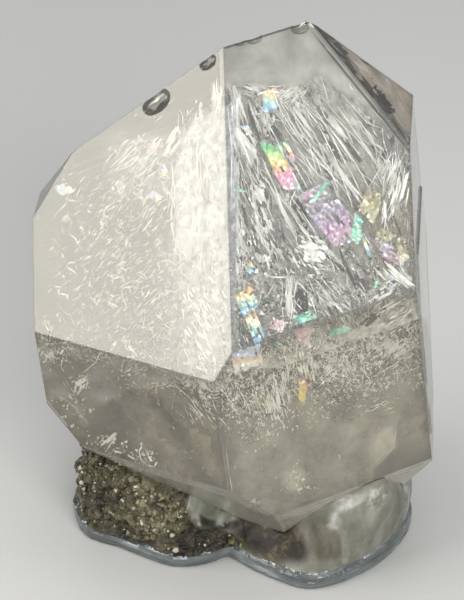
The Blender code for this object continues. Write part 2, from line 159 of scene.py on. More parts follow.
# Bundles of bright strips: pixel, size of the patch, angle, count, length, width, depth in millimetres.
FRONT_BUNDLES = (
    ((241, 139), (9, 16), 62, 14, 22, 2.2, 0.5), ((251, 148), (6, 14), 62, 8, 22, 1.8, 0.5),
    ((236, 112), (8, 26), 86, 40, 24, 1.0, 0.8), ((258, 193), (10, 14), 60, 50, 7, 1.8, 0.5),
    ((314, 252), (22, 26), 40, 130, 7, 2.0, 0.45), ((262, 238), (20, 34), 70, 60, 9, 1.2, 0.6),
    ((396, 186), (16, 50), 104, 60, 24, 1.1, 0.6), ((403, 279), (30, 26), 42, 90, 18, 1.3, 0.6),
    ((383, 211), (5, 22), 92, 12, 16, 1.8, 0.5), ((285, 95), (26, 12), -38, 60, 12, 1.0, 0.8),
    ((262, 89), (34, 6), 10, 50, 9, 0.9, 0.8), ((345, 170), (60, 90), 54, 34, 60, 1.1, 0.6),
    ((300, 150), (50, 80), 60, 34, 60, 1.1, 0.6), ((330, 300), (70, 30), 50, 90, 14, 1.0, 0.6),
    ((388, 300), (26, 26), -35, 60, 12, 1.2, 0.6), ((290, 300), (10, 40), 84, 50, 20, 1.0, 0.6),
    ((240, 240), (8, 90), 84, 60, 16, 0.9, 0.6), ((303, 215), (12, 24), 58, 14, 26, 0.7, 0.5),
)
LEFT_BUNDLES = (
    ((128, 158), (34, 22), -44, 26, 22, 1.0, 0.6), ((172, 142), (14, 20), -52, 14, 20, 2.2, 0.5),
    ((150, 170), (20, 30), -50, 16, 16, 1.0, 0.6), ((196, 180), (26, 90), 88, 50, 22, 0.9, 0.45),
    ((106, 200), (40, 40), -30, 40, 6, 0.8, 0.6), ((120, 240), (80, 90), -42, 260, 7, 0.7, 0.5),
    ((150, 300), (110, 60), -38, 220, 6, 0.7, 0.5), ((157, 99), (3, 3), -38, 3, 15, 2.2, 0.8),
    ((205, 320), (30, 80), 60, 90, 9, 1.4, 0.5), ((148, 215), (10, 20), -50, 8, 14, 1.2, 0.6),
    ((217, 96), (8, 20), 88, 26, 18, 1.2, 0.45), ((172, 205), (3, 60), 88, 8, 40, 1.0, 0.45),
)
LEFT_DARK_STROKES = (
    ((128, 200), (70, 60), -48, 150, 9, 1.0, 0.35), ((110, 270), (80, 80), -40, 120, 7, 0.9, 0.35),
    ((165, 320), (60, 40), 60, 60, 6, 0.8, 0.35), ((205, 230), (26, 150), 86, 60, 12, 1.0, 0.35),
)
# Fans of crushed splinters under the front face: box of the picture, angle, depth, share kept, and the four
# columns between which the fan comes in and goes out.
FRONT_FANS = (
    ((220, 66, 312, 300), 77, 1.6, 0.64, (214, 224, 272, 308)),
    ((252, 60, 392, 300), 61, 2.2, 0.56, (252, 288, 350, 390)),
    ((310, 56, 424, 300), 53, 2.8, 0.54, (312, 345, 392, 422)),
    ((352, 110, 426, 300), 98, 1.3, 0.52, (356, 384, 420, 432)),
)
LOWER_BUNDLES = (
    ((398, 322), (24, 36), -38, 34, 10, 1.2, 0.35), ((284, 378), (18, 40), 78, 34, 10, 0.9, 0.35),
    ((262, 406), (28, 40), 68, 30, 8, 0.8, 0.4), ((336, 352), (70, 18), -30, 30, 7, 0.8, 0.35),
    ((240, 392), (24, 40), 60, 24, 7, 0.8, 0.4), ((180, 385), (70, 10), 30, 50, 5, 0.7, 0.35),
    ((110, 358), (60, 8), 25, 30, 5, 0.7, 0.35), ((196, 412), (20, 30), 60, 20, 6, 0.7, 0.4),
    ((375, 408), (40, 12), -25, 20, 7, 0.7, 0.4), ((108, 443), (14, 12), -45, 14, 12, 0.8, 0.35),
    ((146, 458), (12, 16), 60, 20, 7, 0.9, 0.35), ((70, 395), (20, 40), 50, 14, 7, 0.8, 0.4),
    ((300, 368), (50, 20), -60, 30, 6, 0.8, 0.4), ((352, 372), (50, 20), 10, 20, 6, 0.7, 0.4),
    ((50, 357), (10, 8), 60, 14, 5, 1.4, 0.3), ((80, 384), (10, 10), -50, 14, 6, 1.4, 0.3),
    ((305, 366), (16, 24), 82, 50, 8, 1.3, 0.28), ((276, 400), (18, 30), 74, 60, 12, 1.1, 0.28),
    ((246, 350), (14, 20), 60, 40, 10, 1.1, 0.28), ((390, 352), (30, 30), -40, 50, 12, 1.1, 0.28),
    ((330, 372), (14, 14), -50, 30, 8, 1.1, 0.28), ((205, 400), (22, 34), 50, 50, 8, 1.1, 0.28),
)
# Curved bright borders of small bubbles and cracks in the left prism face, and bright flakes beside them.
LOWER_ARCS = (
    (((142, 445), (139, 452), (141, 459), (147, 465), (154, 467), (157, 462)), 1.7),
    (((74, 392), (77, 384), (83, 378), (88, 380), (86, 388)), 1.3),
    (((45, 362), (48, 354), (54, 351)), 1.3), (((63, 358), (61, 366), (64, 372)), 1.2),
    (((46, 392), (60, 396), (76, 408), (88, 424)), 0.8), (((100, 352), (96, 362), (84, 372)), 0.9),
    (((176, 386), (190, 398), (200, 414)), 0.9),
)
LOWER_FLAKES = (
    (111, 438, 18, 3, -52, 0.3), (105, 442, 13, 2.6, -40, 0.3), (118, 452, 10, 3, 10, 0.3),
    (131, 457, 10, 3, 30, 0.3), (62, 352, 8, 3, -60, 0.3), (84, 381, 8, 3, -50, 0.3),
    (150, 459, 8, 3, 60, 0.35),
)
LOWER_PATCHES = (
    ((56, 358), (16, 10), 26), ((81, 383), (14, 14), 26), ((72, 410), (34, 26), 46),
    ((112, 445), (34, 16), 30), ((140, 456), (26, 16), 40), ((296, 480), (22, 22), 60),
    ((252, 503), (14, 6), 30), ((339, 460), (4, 8), 6), ((380, 385), (20, 12), 20),
    ((100, 440), (20, 16), 16),
)
# Single bright lines, bright bars and dark windows of the front face: pixels, lengths and widths in pixels.
FRONT_LINES = (
    (((267, 122), (276, 138), (287, 163), (300, 187)), 1.3),
    (((307, 110), (318, 124), (336, 160), (352, 205)), 1.4), (((312, 104), (330, 132), (344, 160)), 1.0),
    (((258, 104), (270, 118), (281, 121)), 0.9), (((292, 198), (302, 212), (313, 229)), 1.0),
    (((291, 199), (290, 208), (297, 222), (306, 231)), 0.8), (((297, 281), (293, 300), (290, 326)), 1.3),
    (((297, 281), (309, 294), (316, 312)), 1.1), (((326, 128), (350, 170), (362, 196)), 0.9),
    (((284, 168), (296, 190), (290, 202)), 1.0), (((360, 120), (372, 142), (384, 150)), 0.9),
    (((262, 158), (276, 190), (286, 222)), 0.9), (((344, 96), (366, 122), (380, 128)), 0.9),
    (((370, 186), (380, 168), (394, 152)), 1.0), (((228, 110), (232, 150), (231, 200)), 1.0),
    (((236, 96), (238, 126)), 1.3), (((231, 98), (233, 124)), 1.0),
)
BRIGHT_BARS = (
    (241, 139, 26, 4.0, 62, 0.32), (248, 146, 16, 2.6, 62, 0.34), (385, 210, 22, 4.0, 88, 0.32),
    (402, 277, 34, 5.0, 40, 0.32), (394, 270, 18, 3.0, 44, 0.34), (258, 194, 9, 6.0, 40, 0.32),
    (253, 205, 7, 5.0, 70, 0.34), (404, 187, 34, 5.0, 104, 0.34), (392, 172, 26, 3.0, 120, 0.34),
    (276, 92, 12, 3.0, 10, 0.32), (262, 93, 14, 3.0, -20, 0.34), (356, 222, 14, 3.0, 80, 0.3),
    (267, 262, 20, 3.0, 75, 0.34), (243, 232, 8, 5.0, 60, 0.34), (376, 92, 10, 3.0, 50, 0.34),
    (296, 262, 16, 3.0, 60, 0.34), (312, 246, 12, 9.0, 30, 0.32), (322, 256, 10, 7.0, 60, 0.34),
    (306, 258, 10, 7.0, 100, 0.34),
)
DARK_WINDOWS = (
    (302, 214, 32, 11, 60, 0.45), (302, 303, 34, 14, 85, 0.45), (277, 132, 22, 7, 62, 0.6),
    (330, 144, 40, 8, 62, 0.6), (352, 150, 34, 7, 56, 0.6), (245, 216, 26, 5, 80, 0.6),
    (361, 283, 22, 12, 30, 0.6), (334, 314, 20, 10, 70, 0.6), (255, 244, 24, 6, 74, 0.6),
    (370, 320, 22, 9, 140, 0.5), (388, 148, 30, 7, 120, 0.6),
)
PHANTOM_LINES = (
    (((396, 428), (394, 447), (385, 458), (374, 468)), 0.4),
    (((226, 450), (229, 472), (232, 490)), 0.6),
)
FOOT_LINES = (
    ((268, 514), (287, 530), 1.1), ((250, 505), (285, 529), 0.7), ((232, 497), (262, 514), 0.6),
    ((292, 529), (340, 504), 0.9), ((290, 522), (350, 492), 0.6), ((262, 511), (286, 524), 0.6),
    ((330, 503), (385, 480), 0.6), ((150, 471), (225, 503), 0.6), ((386, 478), (428, 462), 0.7),
)
SIDE_LEAVES = (
    (340, 48, 26, 7, 46, 0.35), (348, 62, 24, 5, 52, 0.35), (330, 36, 20, 4, 42, 0.35),
    (370, 88, 34, 5, 52, 0.3), (384, 104, 30, 5, 55, 0.3), (398, 128, 34, 4, 53, 0.35),
)
SIDE_STREAKS = (
    ((362, 66), (26, 10), 42, 26, 22, 0.9, 0.4), ((382, 84), (26, 10), 50, 24, 22, 0.8, 0.4),
    ((398, 112), (14, 30), 58, 24, 20, 0.8, 0.4), ((360, 80), (6, 16), 56, 10, 12, 0.8, 0.3),
    ((346, 44), (30, 8), 38, 12, 20, 0.7, 0.4),
)

# Patches and grains of the base: the pixel where each shows, and its radius in millimetres.
BASE_SPOTS = (
    ("green", (210, 506), 3.4), ("green", (232, 513), 3.0), ("rust", (262, 534), 4.2),
    ("rust", (284, 544), 3.8), ("rust", (275, 528), 3.0), ("rust", (250, 522), 2.0),
    ("rust", (246, 530), 2.4), ("rust", (297, 549), 2.4), ("arch", (321, 532), 2.3),
    # The glints spots are painted glints: paler patches that stand for sparkle on the right lobe.
    ("arch", (322, 540), 2.5), ("arch", (322, 549), 2.5), ("painted_glints", (358, 490), 2.8),
    ("painted_glints", (378, 498), 2.2), ("painted_glints", (345, 502), 1.6), ("crack", (152, 470), 1.3),
    ("crack", (128, 486), 1.0), ("crack", (210, 548), 0.9),
)
# The dark crack of the green patch: how it runs, and the mark's radius.
BASE_CRACK = ((197, 517), (206, 522), (216, 525), (226, 527), (236, 524), (245, 519))
BASE_CRACK_RADIUS = 0.75
# The paler rib beside the arch, in the same way.
BASE_RIB = ((333, 516), (339, 524), (343, 534), (345, 545), (346, 556), (345, 562))
BASE_RIB_RADIUS = 0.8
# The paler edge of the right lobe, in the same way.
BASE_EDGE = ((407, 482), (409, 492), (409, 500), (408, 508), (406, 516), (403, 524))
BASE_EDGE_RADIUS = 0.75
BASE_LINES = (
    ("crack", BASE_CRACK, BASE_CRACK_RADIUS), ("pale", BASE_RIB, BASE_RIB_RADIUS),
    ("rim", BASE_EDGE, BASE_EDGE_RADIUS),
)
BASE_SPARKLES = (((172, 535), 0.32, 0.35), ((176, 550), 0.42, 0.4), ((168, 531), 0.2, 0.3))
FOOT_HEIGHT_LEFT = 1.7
FOOT_HEIGHT_RIGHT = 2.35
LOBE_SMOOTHING = 14
# How near the base closes up to the crystal that it carries, and from how far off, in millimetres.
SEAM_GAP = 0.06
SEAM_REACH = 1.5

# Looks of the crystal's surface: two haze colours, transmission, roughness, the haze's scale and the bump.
HULL_LOOKS = {
    "clear": (((0.97, 0.965, 0.95), (0.94, 0.935, 0.91)), 0.93, 0.015),
    "front": (((0.99, 0.985, 0.96), (0.96, 0.955, 0.93)), 0.98, 0.01),
    "left": (((0.985, 0.955, 0.83), (0.935, 0.9, 0.765)), 0.83, 0.012, 70.0),
    "low_left": (((0.72, 0.685, 0.56), (0.91, 0.88, 0.765)), 0.925, 0.013, 150.0),
    "low_front": (((0.72, 0.69, 0.59), (0.89, 0.865, 0.775)), 0.925, 0.012, 150.0),
    "under": (((0.44, 0.42, 0.34), (0.7, 0.67, 0.57)), 0.6, 0.12, 200.0),
    "smoky": (((0.9, 0.87, 0.8), (0.99, 0.97, 0.93)), 0.975, 0.012, 230.0),
    # The worn edges: frosted as real wear, and whitish as painted highlight along the bevels and on the
    # growth plates' side walls.
    "worn_edge_highlight": (((0.92, 0.9, 0.84), (0.7, 0.685, 0.63)), 0.84, 0.14, 900.0, 0.4),
    "chip": (((0.42, 0.41, 0.33), (0.62, 0.61, 0.52)), 0.9, 0.03, 400.0),
}
FACE_LOOKS = {
    "t60": "front", "t0": "left", "t300": "clear", "m0": "low_left", "m60": "low_front", "m300": "low_left",
    "b0": "under", "b60": "under", "b300": "low_left", "b120": "under", "t120": "smoky", "m120": "clear",
}
QUARTZ_ABSORPTION = (0.86, 0.855, 0.83, 1)
QUARTZ_DENSITY = 170.0
# How far inside the faces splinters and sheets stay, and the least depth of each kind, in millimetres.
ROOM = 0.12
SHEET_ROOM = 0.15
LEAST_DEPTH = 0.2
LEAST_CRUMB_DEPTH = 0.18
LEAST_SHEET_DEPTH = 0.25
# How far a sheet's own points may lie outside before it is cut, and how deep the scattered strips start.
SHEET_OVERSHOOT = 1.5
SCATTER_ROOM = 3.0
RIBBON_STEPS = 4
LEAF_SHEAR = 0.25
# The steps of the sheets' grids, in pixels of the frame.
HAZE_STEP = 3
SHEET_STEP = 1.1
LOW_DEPTH = 1.6
LOW_LEFT_DEPTH = 1.8
# The turns of a chip's ball that are tried, in radians.
CHIP_SPINS = (0, 0.05, 0.11, 0.17)

# Levels on the picture: where each starts, and its steps, each with the range over which it comes.
FRONT_MIDDLE = (320, 200)
ZONE_TOP = 84
ZONE_STEPS = ((-11, (300, 316)),)
ZONE_SLOPE = 0.60
ZONE_SLOPE_START = 318
FRACTURE_LEAN = 68
FRACTURE_TURNS = ((-14, (245, 315)), (22, (365, 405)))
BORDER_LEFT_END = 120
BORDER_LEFT_ROW = 372
BORDER_ROW = 390
BORDER_STEPS = ((57, (180, 242)), (-22, (262, 300)), (-35, (300, 430)))
PHANTOM_COLUMN = 396
PHANTOM_STEPS = ((24, (428, 387)), (-22, (447, 468)))
VEIL_COLUMN = 190
VEIL_COLUMN_STEPS = ((-20, (100, 168)),)
VEIL_ROW = 104
VEIL_ROW_STEPS = ((18, (224, 186)),)
CRUSHED_TOP = 245
CRUSHED_FULL = 290
CRUSHED_STEPS = ((-25, (275, 240)),)
# The direction in which the streaks of the left face run up to the right.
RISING_ANGLE = -48
# The edge between the front face and the lower one below it.
UPPER_EDGE_ROW = 353
UPPER_EDGE_COLUMN = 232
UPPER_EDGE_SLOPE = 0.298
# The upper corner of the narrow face at the right, and how its edge runs.
SIDE_CORNER = (313, 22)
SIDE_ACROSS = 0.785
SIDE_DOWN = 0.62
LINES_TOP = 110
# Soft windows of the picture: over which columns, then over which rows, each comes in or goes out.
WINDOWS = {
    "front_top": ((), ((60, 90),)),
    "front_low": ((), ((240, 290),)),
    "gold": (((340, 385),), ((160, 212), (290, 255))),
    "veil_band": ((), ((300, 225),)),
    "veil_low": (((150, 215),), ((215, 262), (385, 340))),
    "veil_streaks": (((95, 120), (196, 180)), ((128, 140), (215, 185))),
    "low_right": (((330, 385),), ((395, 435),)),
    "low_cloud": ((), ((470, 440),)),
    "low_upper": ((), ((420, 380),)),
    "low_milk": (((100, 150),), ((350, 400),)),
    "smoke_left": (((160, 80),), ()),
    "smoke_facet": ((), ((380, 396), (474, 462))),
    "smoke_front": ((), ((470, 430),)),
    "side_top": ((), ((24, 50),)),
    "fan": ((), ((292, 262),)),
    "veil_sheet": ((), ((290, 235),)),
    "mottled_low": (((140, 205),), ((215, 262),)),
    "mottled_streaks": (((95, 120), (196, 180)), ((128, 140), (215, 200))),
    "left_edge": (((60, 40),), ()),
    "left_crowd": (((120, 180),), ((200, 260),)),
    "left_rising": ((), ((235, 190),)),
    "shards_short": ((), ((250, 290),)),
    "slivers_short": ((), ((255, 295),)),
    "slivers_left": (((285, 235),), ()),
    "crumbs_low": ((), ((225, 300),)),
    "crumbs_left": (((270, 240),), ()),
}
# Soft ovals of the picture: the middle, how much each direction counts, and where each comes in.
DISCS = {
    "milk": ((296, 480), (1, 1.1), (24, 8)),
    "middle": ((350, 430), (1 / 1.8, 1), (30, 5)),
    "tan": ((74, 412), (1, 1), (30, 12)),
    "brown_left": ((206, 405), (1 / 1.6, 1), (26, 6)),
    "brown_front": ((345, 412), (1 / 2.2, 1), (22, 4)),
}
# How many splinters of each kind are drawn at random, and the boxes of the picture for them.
SHARD_COUNT = 120
SLIVER_COUNT = 420
FRONT_CRUMB_COUNT = 900
FRONT_DUST_COUNT = 1600
LOWER_CRUMB_COUNT = 3200
DARK_SPECK_COUNT = 260
LEFT_STREAK_COUNT = 260
SCATTER_COUNT = 2600
SIDE_SPOT_COUNT = 160
SHARD_BOX = (228, 72, 414, 350)
SLIVER_BOX = (228, 72, 414, 352)
FRONT_CRUMB_BOX = (230, 225, 420, 352)
FRONT_DUST_BOX = (228, 74, 418, 352)
LOWER_CRUMB_BOX = (36, 335, 432, 470)
LEFT_STREAK_BOX = (50, 95, 228, 378)
# The middles of two dark patches, the column up to which the left bundles are soft, a larger flake's length.
DARK_SPECKS = (336, 404)
SIDE_SPOT = (384, 101)
SOFT_UP_TO = 180
LARGE_FLAKE = 20

# Looks inside the crystal. Haze: colour, cover, scale, thinnest share. Splinters: colour, roughness,
# metallic, alpha. Crushed sheets: cell, roughness, metallic, tones, gaps, tilt, borders' width, cover.
HAZE_LOOKS = {
    "haze_top": ((0.92, 0.915, 0.865), 0.52, 200.0, 0.6),
    "haze_front": ((0.84, 0.83, 0.785), 0.85, 620.0, 0.25),
    "haze_gold": ((0.3, 0.26, 0.15), 0.9, 420.0, 0.3),
    "haze_veil": ((0.79, 0.82, 0.91), 0.95, 900.0, 0.2),
    "haze_low": ((0.88, 0.84, 0.72), 0.9, 300.0, 0.55),
    "haze_low_left": ((0.74, 0.66, 0.53), 0.9, 260.0, 0.1),
    "smoke": ((0.1, 0.088, 0.06), 0.95, 220.0, 0.35),
    "haze_tan": ((0.92, 0.81, 0.68), 0.95, 300.0, 0.6),
    "smoke_side": ((0.055, 0.044, 0.024), 1.0, 500.0, 0.7),
}
FRACTURE_LOOKS = {
    "white": ((0.98, 0.98, 0.96), 0.3, 0.1),
    "gloss": ((0.5, 0.5, 0.48), 0.42, 0.4),
    "dark": ((0.02, 0.019, 0.015), 0.55),
    "olive": ((0.055, 0.046, 0.026), 0.4),
    "soft": ((1.0, 0.99, 0.95), 0.4, 0.0, 0.85),
    "dim": ((0.15, 0.146, 0.12), 0.5, 0.0, 0.8),
    "grey": ((0.22, 0.22, 0.22), 0.45, 0.1),
}
CRACKLE_LOOKS = {
    "foil": ((17.0, 6.0), 0.28, 0.35, [
        (0.17, (0.04, 0.04, 0.037)), (0.4, (0.22, 0.217, 0.205)), (0.55, (0.7, 0.695, 0.66)),
        (0.67, (1.0, 0.995, 0.97)),
    ], 0.36),
    "crushed": ((7.0, 2.6), 0.32, 0.25, [
        (0.18, (0.06, 0.056, 0.042)), (0.4, (0.24, 0.23, 0.195)), (0.56, (0.46, 0.45, 0.4)),
        (0.68, (1.0, 0.99, 0.95)),
    ], 0.3, 0.6, 0.025, 0.8),
    "foil_deep": ((20.0, 7.0), 0.3, 0.4, [
        (0.25, (0.12, 0.12, 0.115)), (0.45, (0.4, 0.395, 0.38)), (0.7, (0.95, 0.95, 0.93)),
    ], 0.15),
    "veil": ((16.0, 4.0), 0.4, 0.1, [
        (0.15, (0.6, 0.61, 0.63)), (0.45, (0.8, 0.82, 0.87)), (0.65, (0.91, 0.94, 1.0)),
    ], 0.12, 0.35, 0.05, 0.9),
    "mottled": ((6.0, 4.5), 0.4, 0.1, [
        (0.15, (0.66, 0.65, 0.6)), (0.45, (0.88, 0.87, 0.82)), (0.65, (1.0, 1.0, 0.98)),
    ], 0.34, 0.35, 0.06, 0.75),
    "lines": ((6.0, 3.5), 0.4, 0.1, [(0.0, (1, 1, 0.97)), (1.0, (1, 1, 0.97))], 1.1, 0.3, 0.05, 0.4),
}
LINE_WHITE = (1.0, 1.0, 0.98, 1)
SILVER = (0.72, 0.72, 0.71, 1)

# Tones of the base: the noise that places them, and the stops between which it runs.
STONE_TONES = {
    "fine": ((420.0, 9.0, 0.75, 0.6), [
        (0.36, (0.026, 0.021, 0.009)), (0.5, (0.08, 0.069, 0.036)), (0.66, (0.21, 0.19, 0.12)),
    ]),
    "broad": ((130.0, 4.0, 0.5), [(0.4, (0.22, 0.2, 0.15)), (0.56, (0.95, 0.95, 0.92))]),
    "rust": ((620.0, 7.0, 0.72), [
        (0.43, (0.003, 0.002, 0.001)), (0.52, (0.014, 0.009, 0.003)), (0.58, (0.058, 0.036, 0.013)),
        (0.7, (0.145, 0.104, 0.056)),
    ]),
    "green": ((300.0, 4.0, 0.6), [(0.35, (0.055, 0.062, 0.042)), (0.65, (0.15, 0.16, 0.12))]),
    # Painted glints: paler tones for the sparkle of the right lobe.
    "painted_glints": ((1300.0, 6.0, 0.7), [(0.44, (0.11, 0.107, 0.087)), (0.62, (0.29, 0.29, 0.26))]),
    "pale": ((700.0, 4.0, 0.6), [(0.35, (0.11, 0.107, 0.087)), (0.65, (0.18, 0.177, 0.152))]),
    "rim": ((500.0, 4.0, 0.6), [(0.35, (0.2, 0.22, 0.22)), (0.65, (0.36, 0.39, 0.39))]),
}
# The same, with noise drawn out along the object's axes.
DRAWN_TONES = {
    "frost": ((230.0, (1.4, 1.4, 0.7), (0, 0, 0), 8.0), [
        (0.32, (0.07, 0.067, 0.049)), (0.5, (0.118, 0.115, 0.092)), (0.7, (0.205, 0.202, 0.172)),
    ]),
    "arch": ((420.0, (2.2, 2.2, 0.6)), [(0.3, (0.045, 0.041, 0.026)), (0.7, (0.11, 0.104, 0.075))]),
}
# Painted shade: these tones darken the sugary stone in the crevices between its clumps.
CREVICE_SHADE_TONES = [(0.0, (0.9, 0.9, 0.88)), (0.5, (0.52, 0.515, 0.48)), (0.9, (0.24, 0.225, 0.17))]
FOOT_TONES = [(0.3, (0.055, 0.062, 0.06)), (0.55, (0.13, 0.145, 0.15)), (0.75, (0.36, 0.4, 0.42))]
# Painted highlight: a paler band along the top of the foot, at the front.
LIP_HIGHLIGHT_TONES = [(0.4, (0.11, 0.125, 0.13)), (0.6, (0.34, 0.375, 0.38))]
GRAIN_TONES = [(0.38, (0.024, 0.02, 0.009)), (0.5, (0.064, 0.056, 0.029)), (0.62, (0.145, 0.131, 0.079))]
CRACK_COLOUR = (0.012, 0.011, 0.007, 1)
# Colour, roughness, and the bump's noise, strength and height in millimetres.
STONE_LOOKS = {
    "sugary": ((0.2, 0.18, 0.12), 0.42, (2600.0, 6.0, 0.7), 0.9, 0.25),
    "pale": ((0.5, 0.5, 0.45), 0.42, (900.0, 6.0, 0.6), 0.2, 0.15),
    "rusty": ((0.03, 0.02, 0.01), 0.6, (1500.0, 6.0, 0.7), 0.7, 0.2),
}
# Where the smooth lobe ends at the left and at the back, and where its colour comes in, in millimetres.
LOBE_LEFT = 1.5
LOBE_BACK = 4.0
LOBE_FADE = (4.5, 8.5)
# Up to which height the underside and the rim keep their shape, and the room that the roughness leaves.
UNDERSIDE = 0.25
RIM_HEIGHT = 1.8
ROUGH_FROM = 0.45
ROUGH_ROOM = 0.4
# How wide the painted highlight along the foot's upper edge is, in millimetres.
LIP_HIGHLIGHT_WIDTH = 0.2
BASE_VOXEL = 0.3
GRAIN_COUNT = 5500
GRAIN_RADII = (0.09, 0.12, 0.15, 0.2, 0.26, 0.34, 0.44)
GRAIN_ROOT = 0.15

FLOOR_SIZE = 3.0
FLOOR_COLOUR = (0.42, 0.42, 0.415)
ROOM_COLOUR = (0.5, 0.51, 0.53, 1)
ROOM_STRENGTH = 0.62
# The soft boxes: the way from the crystal's middle, the distance in metres, size, power and colour.
SOFTBOXES = {
    "softbox_left": ((-0.868, -0.235, 0.436), 0.42, 0.34, 1.7, (1.0, 0.98, 0.93)),
    "softbox_right": ((0.497, -0.495, 0.715), 0.46, 0.3, 0.5, (1.0, 0.985, 0.95)),
    "softbox_front": ((0.28, -0.89, 0.36), 0.62, 0.36, 5.2, (0.99, 0.99, 0.95)),
    "softbox_top": ((0.0, 0.1, 0.6), 1.0, 0.4, 1.5, (1, 1, 1)),
}

# The camera: it looks down at the crystal's centre from the front, as the photograph does.
ELEVATION = 30
DISTANCE = 330.5
LENS = 165.24
SENSOR = 36
FRAME_WIDTH = 464
FRAME_HEIGHT = 600
FOCAL_PIXELS = LENS / SENSOR * FRAME_HEIGHT
PIXEL = DISTANCE / FOCAL_PIXELS
EYE = CENTRE + DISTANCE * Vector((0, -cos(radians(ELEVATION)), sin(radians(ELEVATION))))


def crystal_frame():
    lean = Matrix.Rotation(radians(-LEAN_LEFT), 3, "Y")
    tip = Matrix.Rotation(radians(LEAN_FRONT), 3, "X")
    turn = Matrix.Rotation(radians(TURN), 3, "Z")
    return lean @ tip @ turn


def face_normal(face):
    around = radians(int(face[1:]))
    if face[0] == "m":
        own = Vector((cos(around), sin(around), 0))
    else:
        up = cos(RHOMB_TILT) if face[0] == "t" else -cos(RHOMB_TILT)
        own = Vector((sin(RHOMB_TILT) * cos(around), sin(RHOMB_TILT) * sin(around), up))
    return crystal_frame() @ own


NORMALS = {face: face_normal(face) for face in FACE_DISTANCE}


def outside(point):
    """How far a point lies outside the crystal, negative inside, in millimetres."""
    offset = point - CENTRE
    return max(NORMALS[face].dot(offset) - distance for face, distance in FACE_DISTANCE.items())


def sight_line(px, py):
    """The direction from the camera through a pixel of the frame."""
    down = radians(ELEVATION)
    forward = Vector((0, cos(down), -sin(down)))
    up = Vector((0, sin(down), cos(down)))
    right = Vector((1, 0, 0))
    across = (px - FRAME_WIDTH / 2) / FOCAL_PIXELS
    rise = (FRAME_HEIGHT / 2 - py) / FOCAL_PIXELS
    return (forward + right * across + up * rise).normalized()


def surface_at(px, py):
    """The face that the camera sees at a pixel, and the point on it."""
    line = sight_line(px, py)
    best = None
    for face, normal in NORMALS.items():
        slope = normal.dot(line)
        if slope < 0:
            reach = (normal.dot(CENTRE) + FACE_DISTANCE[face] - normal.dot(EYE)) / slope
            if best is None or reach > best[0]:
                best = (reach, face)
    return best[1], EYE + line * best[0]


def on_face(face, px, py):
    """The point of a face's plane that lies behind a pixel."""
    line = sight_line(px, py)
    normal = NORMALS[face]
    return EYE + line * ((normal.dot(CENTRE) + FACE_DISTANCE[face] - normal.dot(EYE)) / normal.dot(line))


def below(face, px, py, depth):
    """The point inside the crystal that shows through a face at a pixel, light bending included."""
    line = sight_line(px, py)
    normal = NORMALS[face]
    straight = -normal.dot(line)
    ratio = 1 / QUARTZ_IOR
    bent = line * ratio + normal * (ratio * straight - sqrt(1 - ratio * ratio * (1 - straight * straight)))
    return on_face(face, px, py) + bent * (depth / -bent.dot(normal))


def under(px, py, depth):
    """The point inside the crystal at a pixel, that far below the face that the camera sees there."""
    return below(surface_at(px, py)[0], px, py, depth)


# Measures on the picture

def between(value, low, high):
    """0 at and below the low value, 1 at and above the high one."""
    return max(0, min(1, (value - low) / (high - low)))


def stepped(value, start, steps):
    """A level that changes by each step over the range given with it."""
    return start + sum(step * between(value, *reach) for step, reach in steps)


def window(name, px, py):
    """How far a pixel lies inside a soft window: 0 outside, 1 well inside."""
    columns, rows = WINDOWS[name]
    share = 1
    for low, high in columns:
        share *= between(px, low, high)
    for low, high in rows:
        share *= between(py, low, high)
    return share


def disc(name, px, py):
    """How far a pixel lies inside a soft oval, in the same way."""
    (x, y), (wide, high), reach = DISCS[name]
    return between(hypot((px - x) * wide, (py - y) * high), *reach)


def wave(px, py, seed, wide, high=None):
    """Smooth noise from -1 to 1 over the picture, its waves that many pixels wide and high."""
    return noise.noise(Vector((px / wide, py / (high or wide), seed)))


def turned(px, py, angle, across=1, along=1):
    """Coordinates along and across a direction on the picture, from the middle of the front face."""
    turn = radians(angle)
    x = px - FRONT_MIDDLE[0]
    y = py - FRONT_MIDDLE[1]
    return (x * cos(turn) + y * sin(turn)) / along, (-x * sin(turn) + y * cos(turn)) / across


def ridges(px, py, angle, across, along, seed):
    """Noise from -1 to 1 whose ridges run along a direction on the picture."""
    return noise.noise(Vector((*turned(px, py, angle, across, along), seed)))


def facets(px, py, angle, across, along, seed):
    """From 0 upwards: flat facets that meet in creases, drawn out along a direction on the picture."""
    place = Vector((*turned(px, py, angle, across, along), seed))
    return noise.voronoi(place, distance_metric="MANHATTAN")[0][0]


def share_kept(px, py, angle, wide, long, seed):
    """Noise from about 0 to 1 in patches drawn out along a direction, to keep a share of a sheet by."""
    small = ridges(px, py, angle, 0.4 * wide, 0.33 * long, seed + 1)
    return 0.5 + 0.6 * ridges(px, py, angle, wide, long, seed) + 0.4 * small


def front_zone(px, py):
    """How far inside the fractured part of the front face a pixel lies, in pixels. Its top stays smooth."""
    top = stepped(px, ZONE_TOP, ZONE_STEPS) + ZONE_SLOPE * max(0, px - ZONE_SLOPE_START)
    return py - (top + 5 * wave(px, 0, 41, 9))


def fracture_angle(px, py):
    """The direction of the fractures under the front face, in degrees below the horizontal."""
    return stepped(px, FRACTURE_LEAN, FRACTURE_TURNS) + 7 * wave(px, py, 3, 30)


def lower_border(px):
    """The row down to which the cloud of crumbs reaches in the two front prism faces."""
    return BORDER_LEFT_ROW if px < BORDER_LEFT_END else stepped(px, BORDER_ROW, BORDER_STEPS)


# Materials

def shader_of(material):
    return material.node_tree.nodes["Principled BSDF"]


def feed(node, socket, value):
    """Sets an input of a node, or links it where the value is a (node, output) pair."""
    if isinstance(value, tuple) and isinstance(value[0], bpy.types.Node):
        node.id_data.links.new(value[0].outputs[value[1]], node.inputs[socket])
    else:
        node.inputs[socket].default_value = value


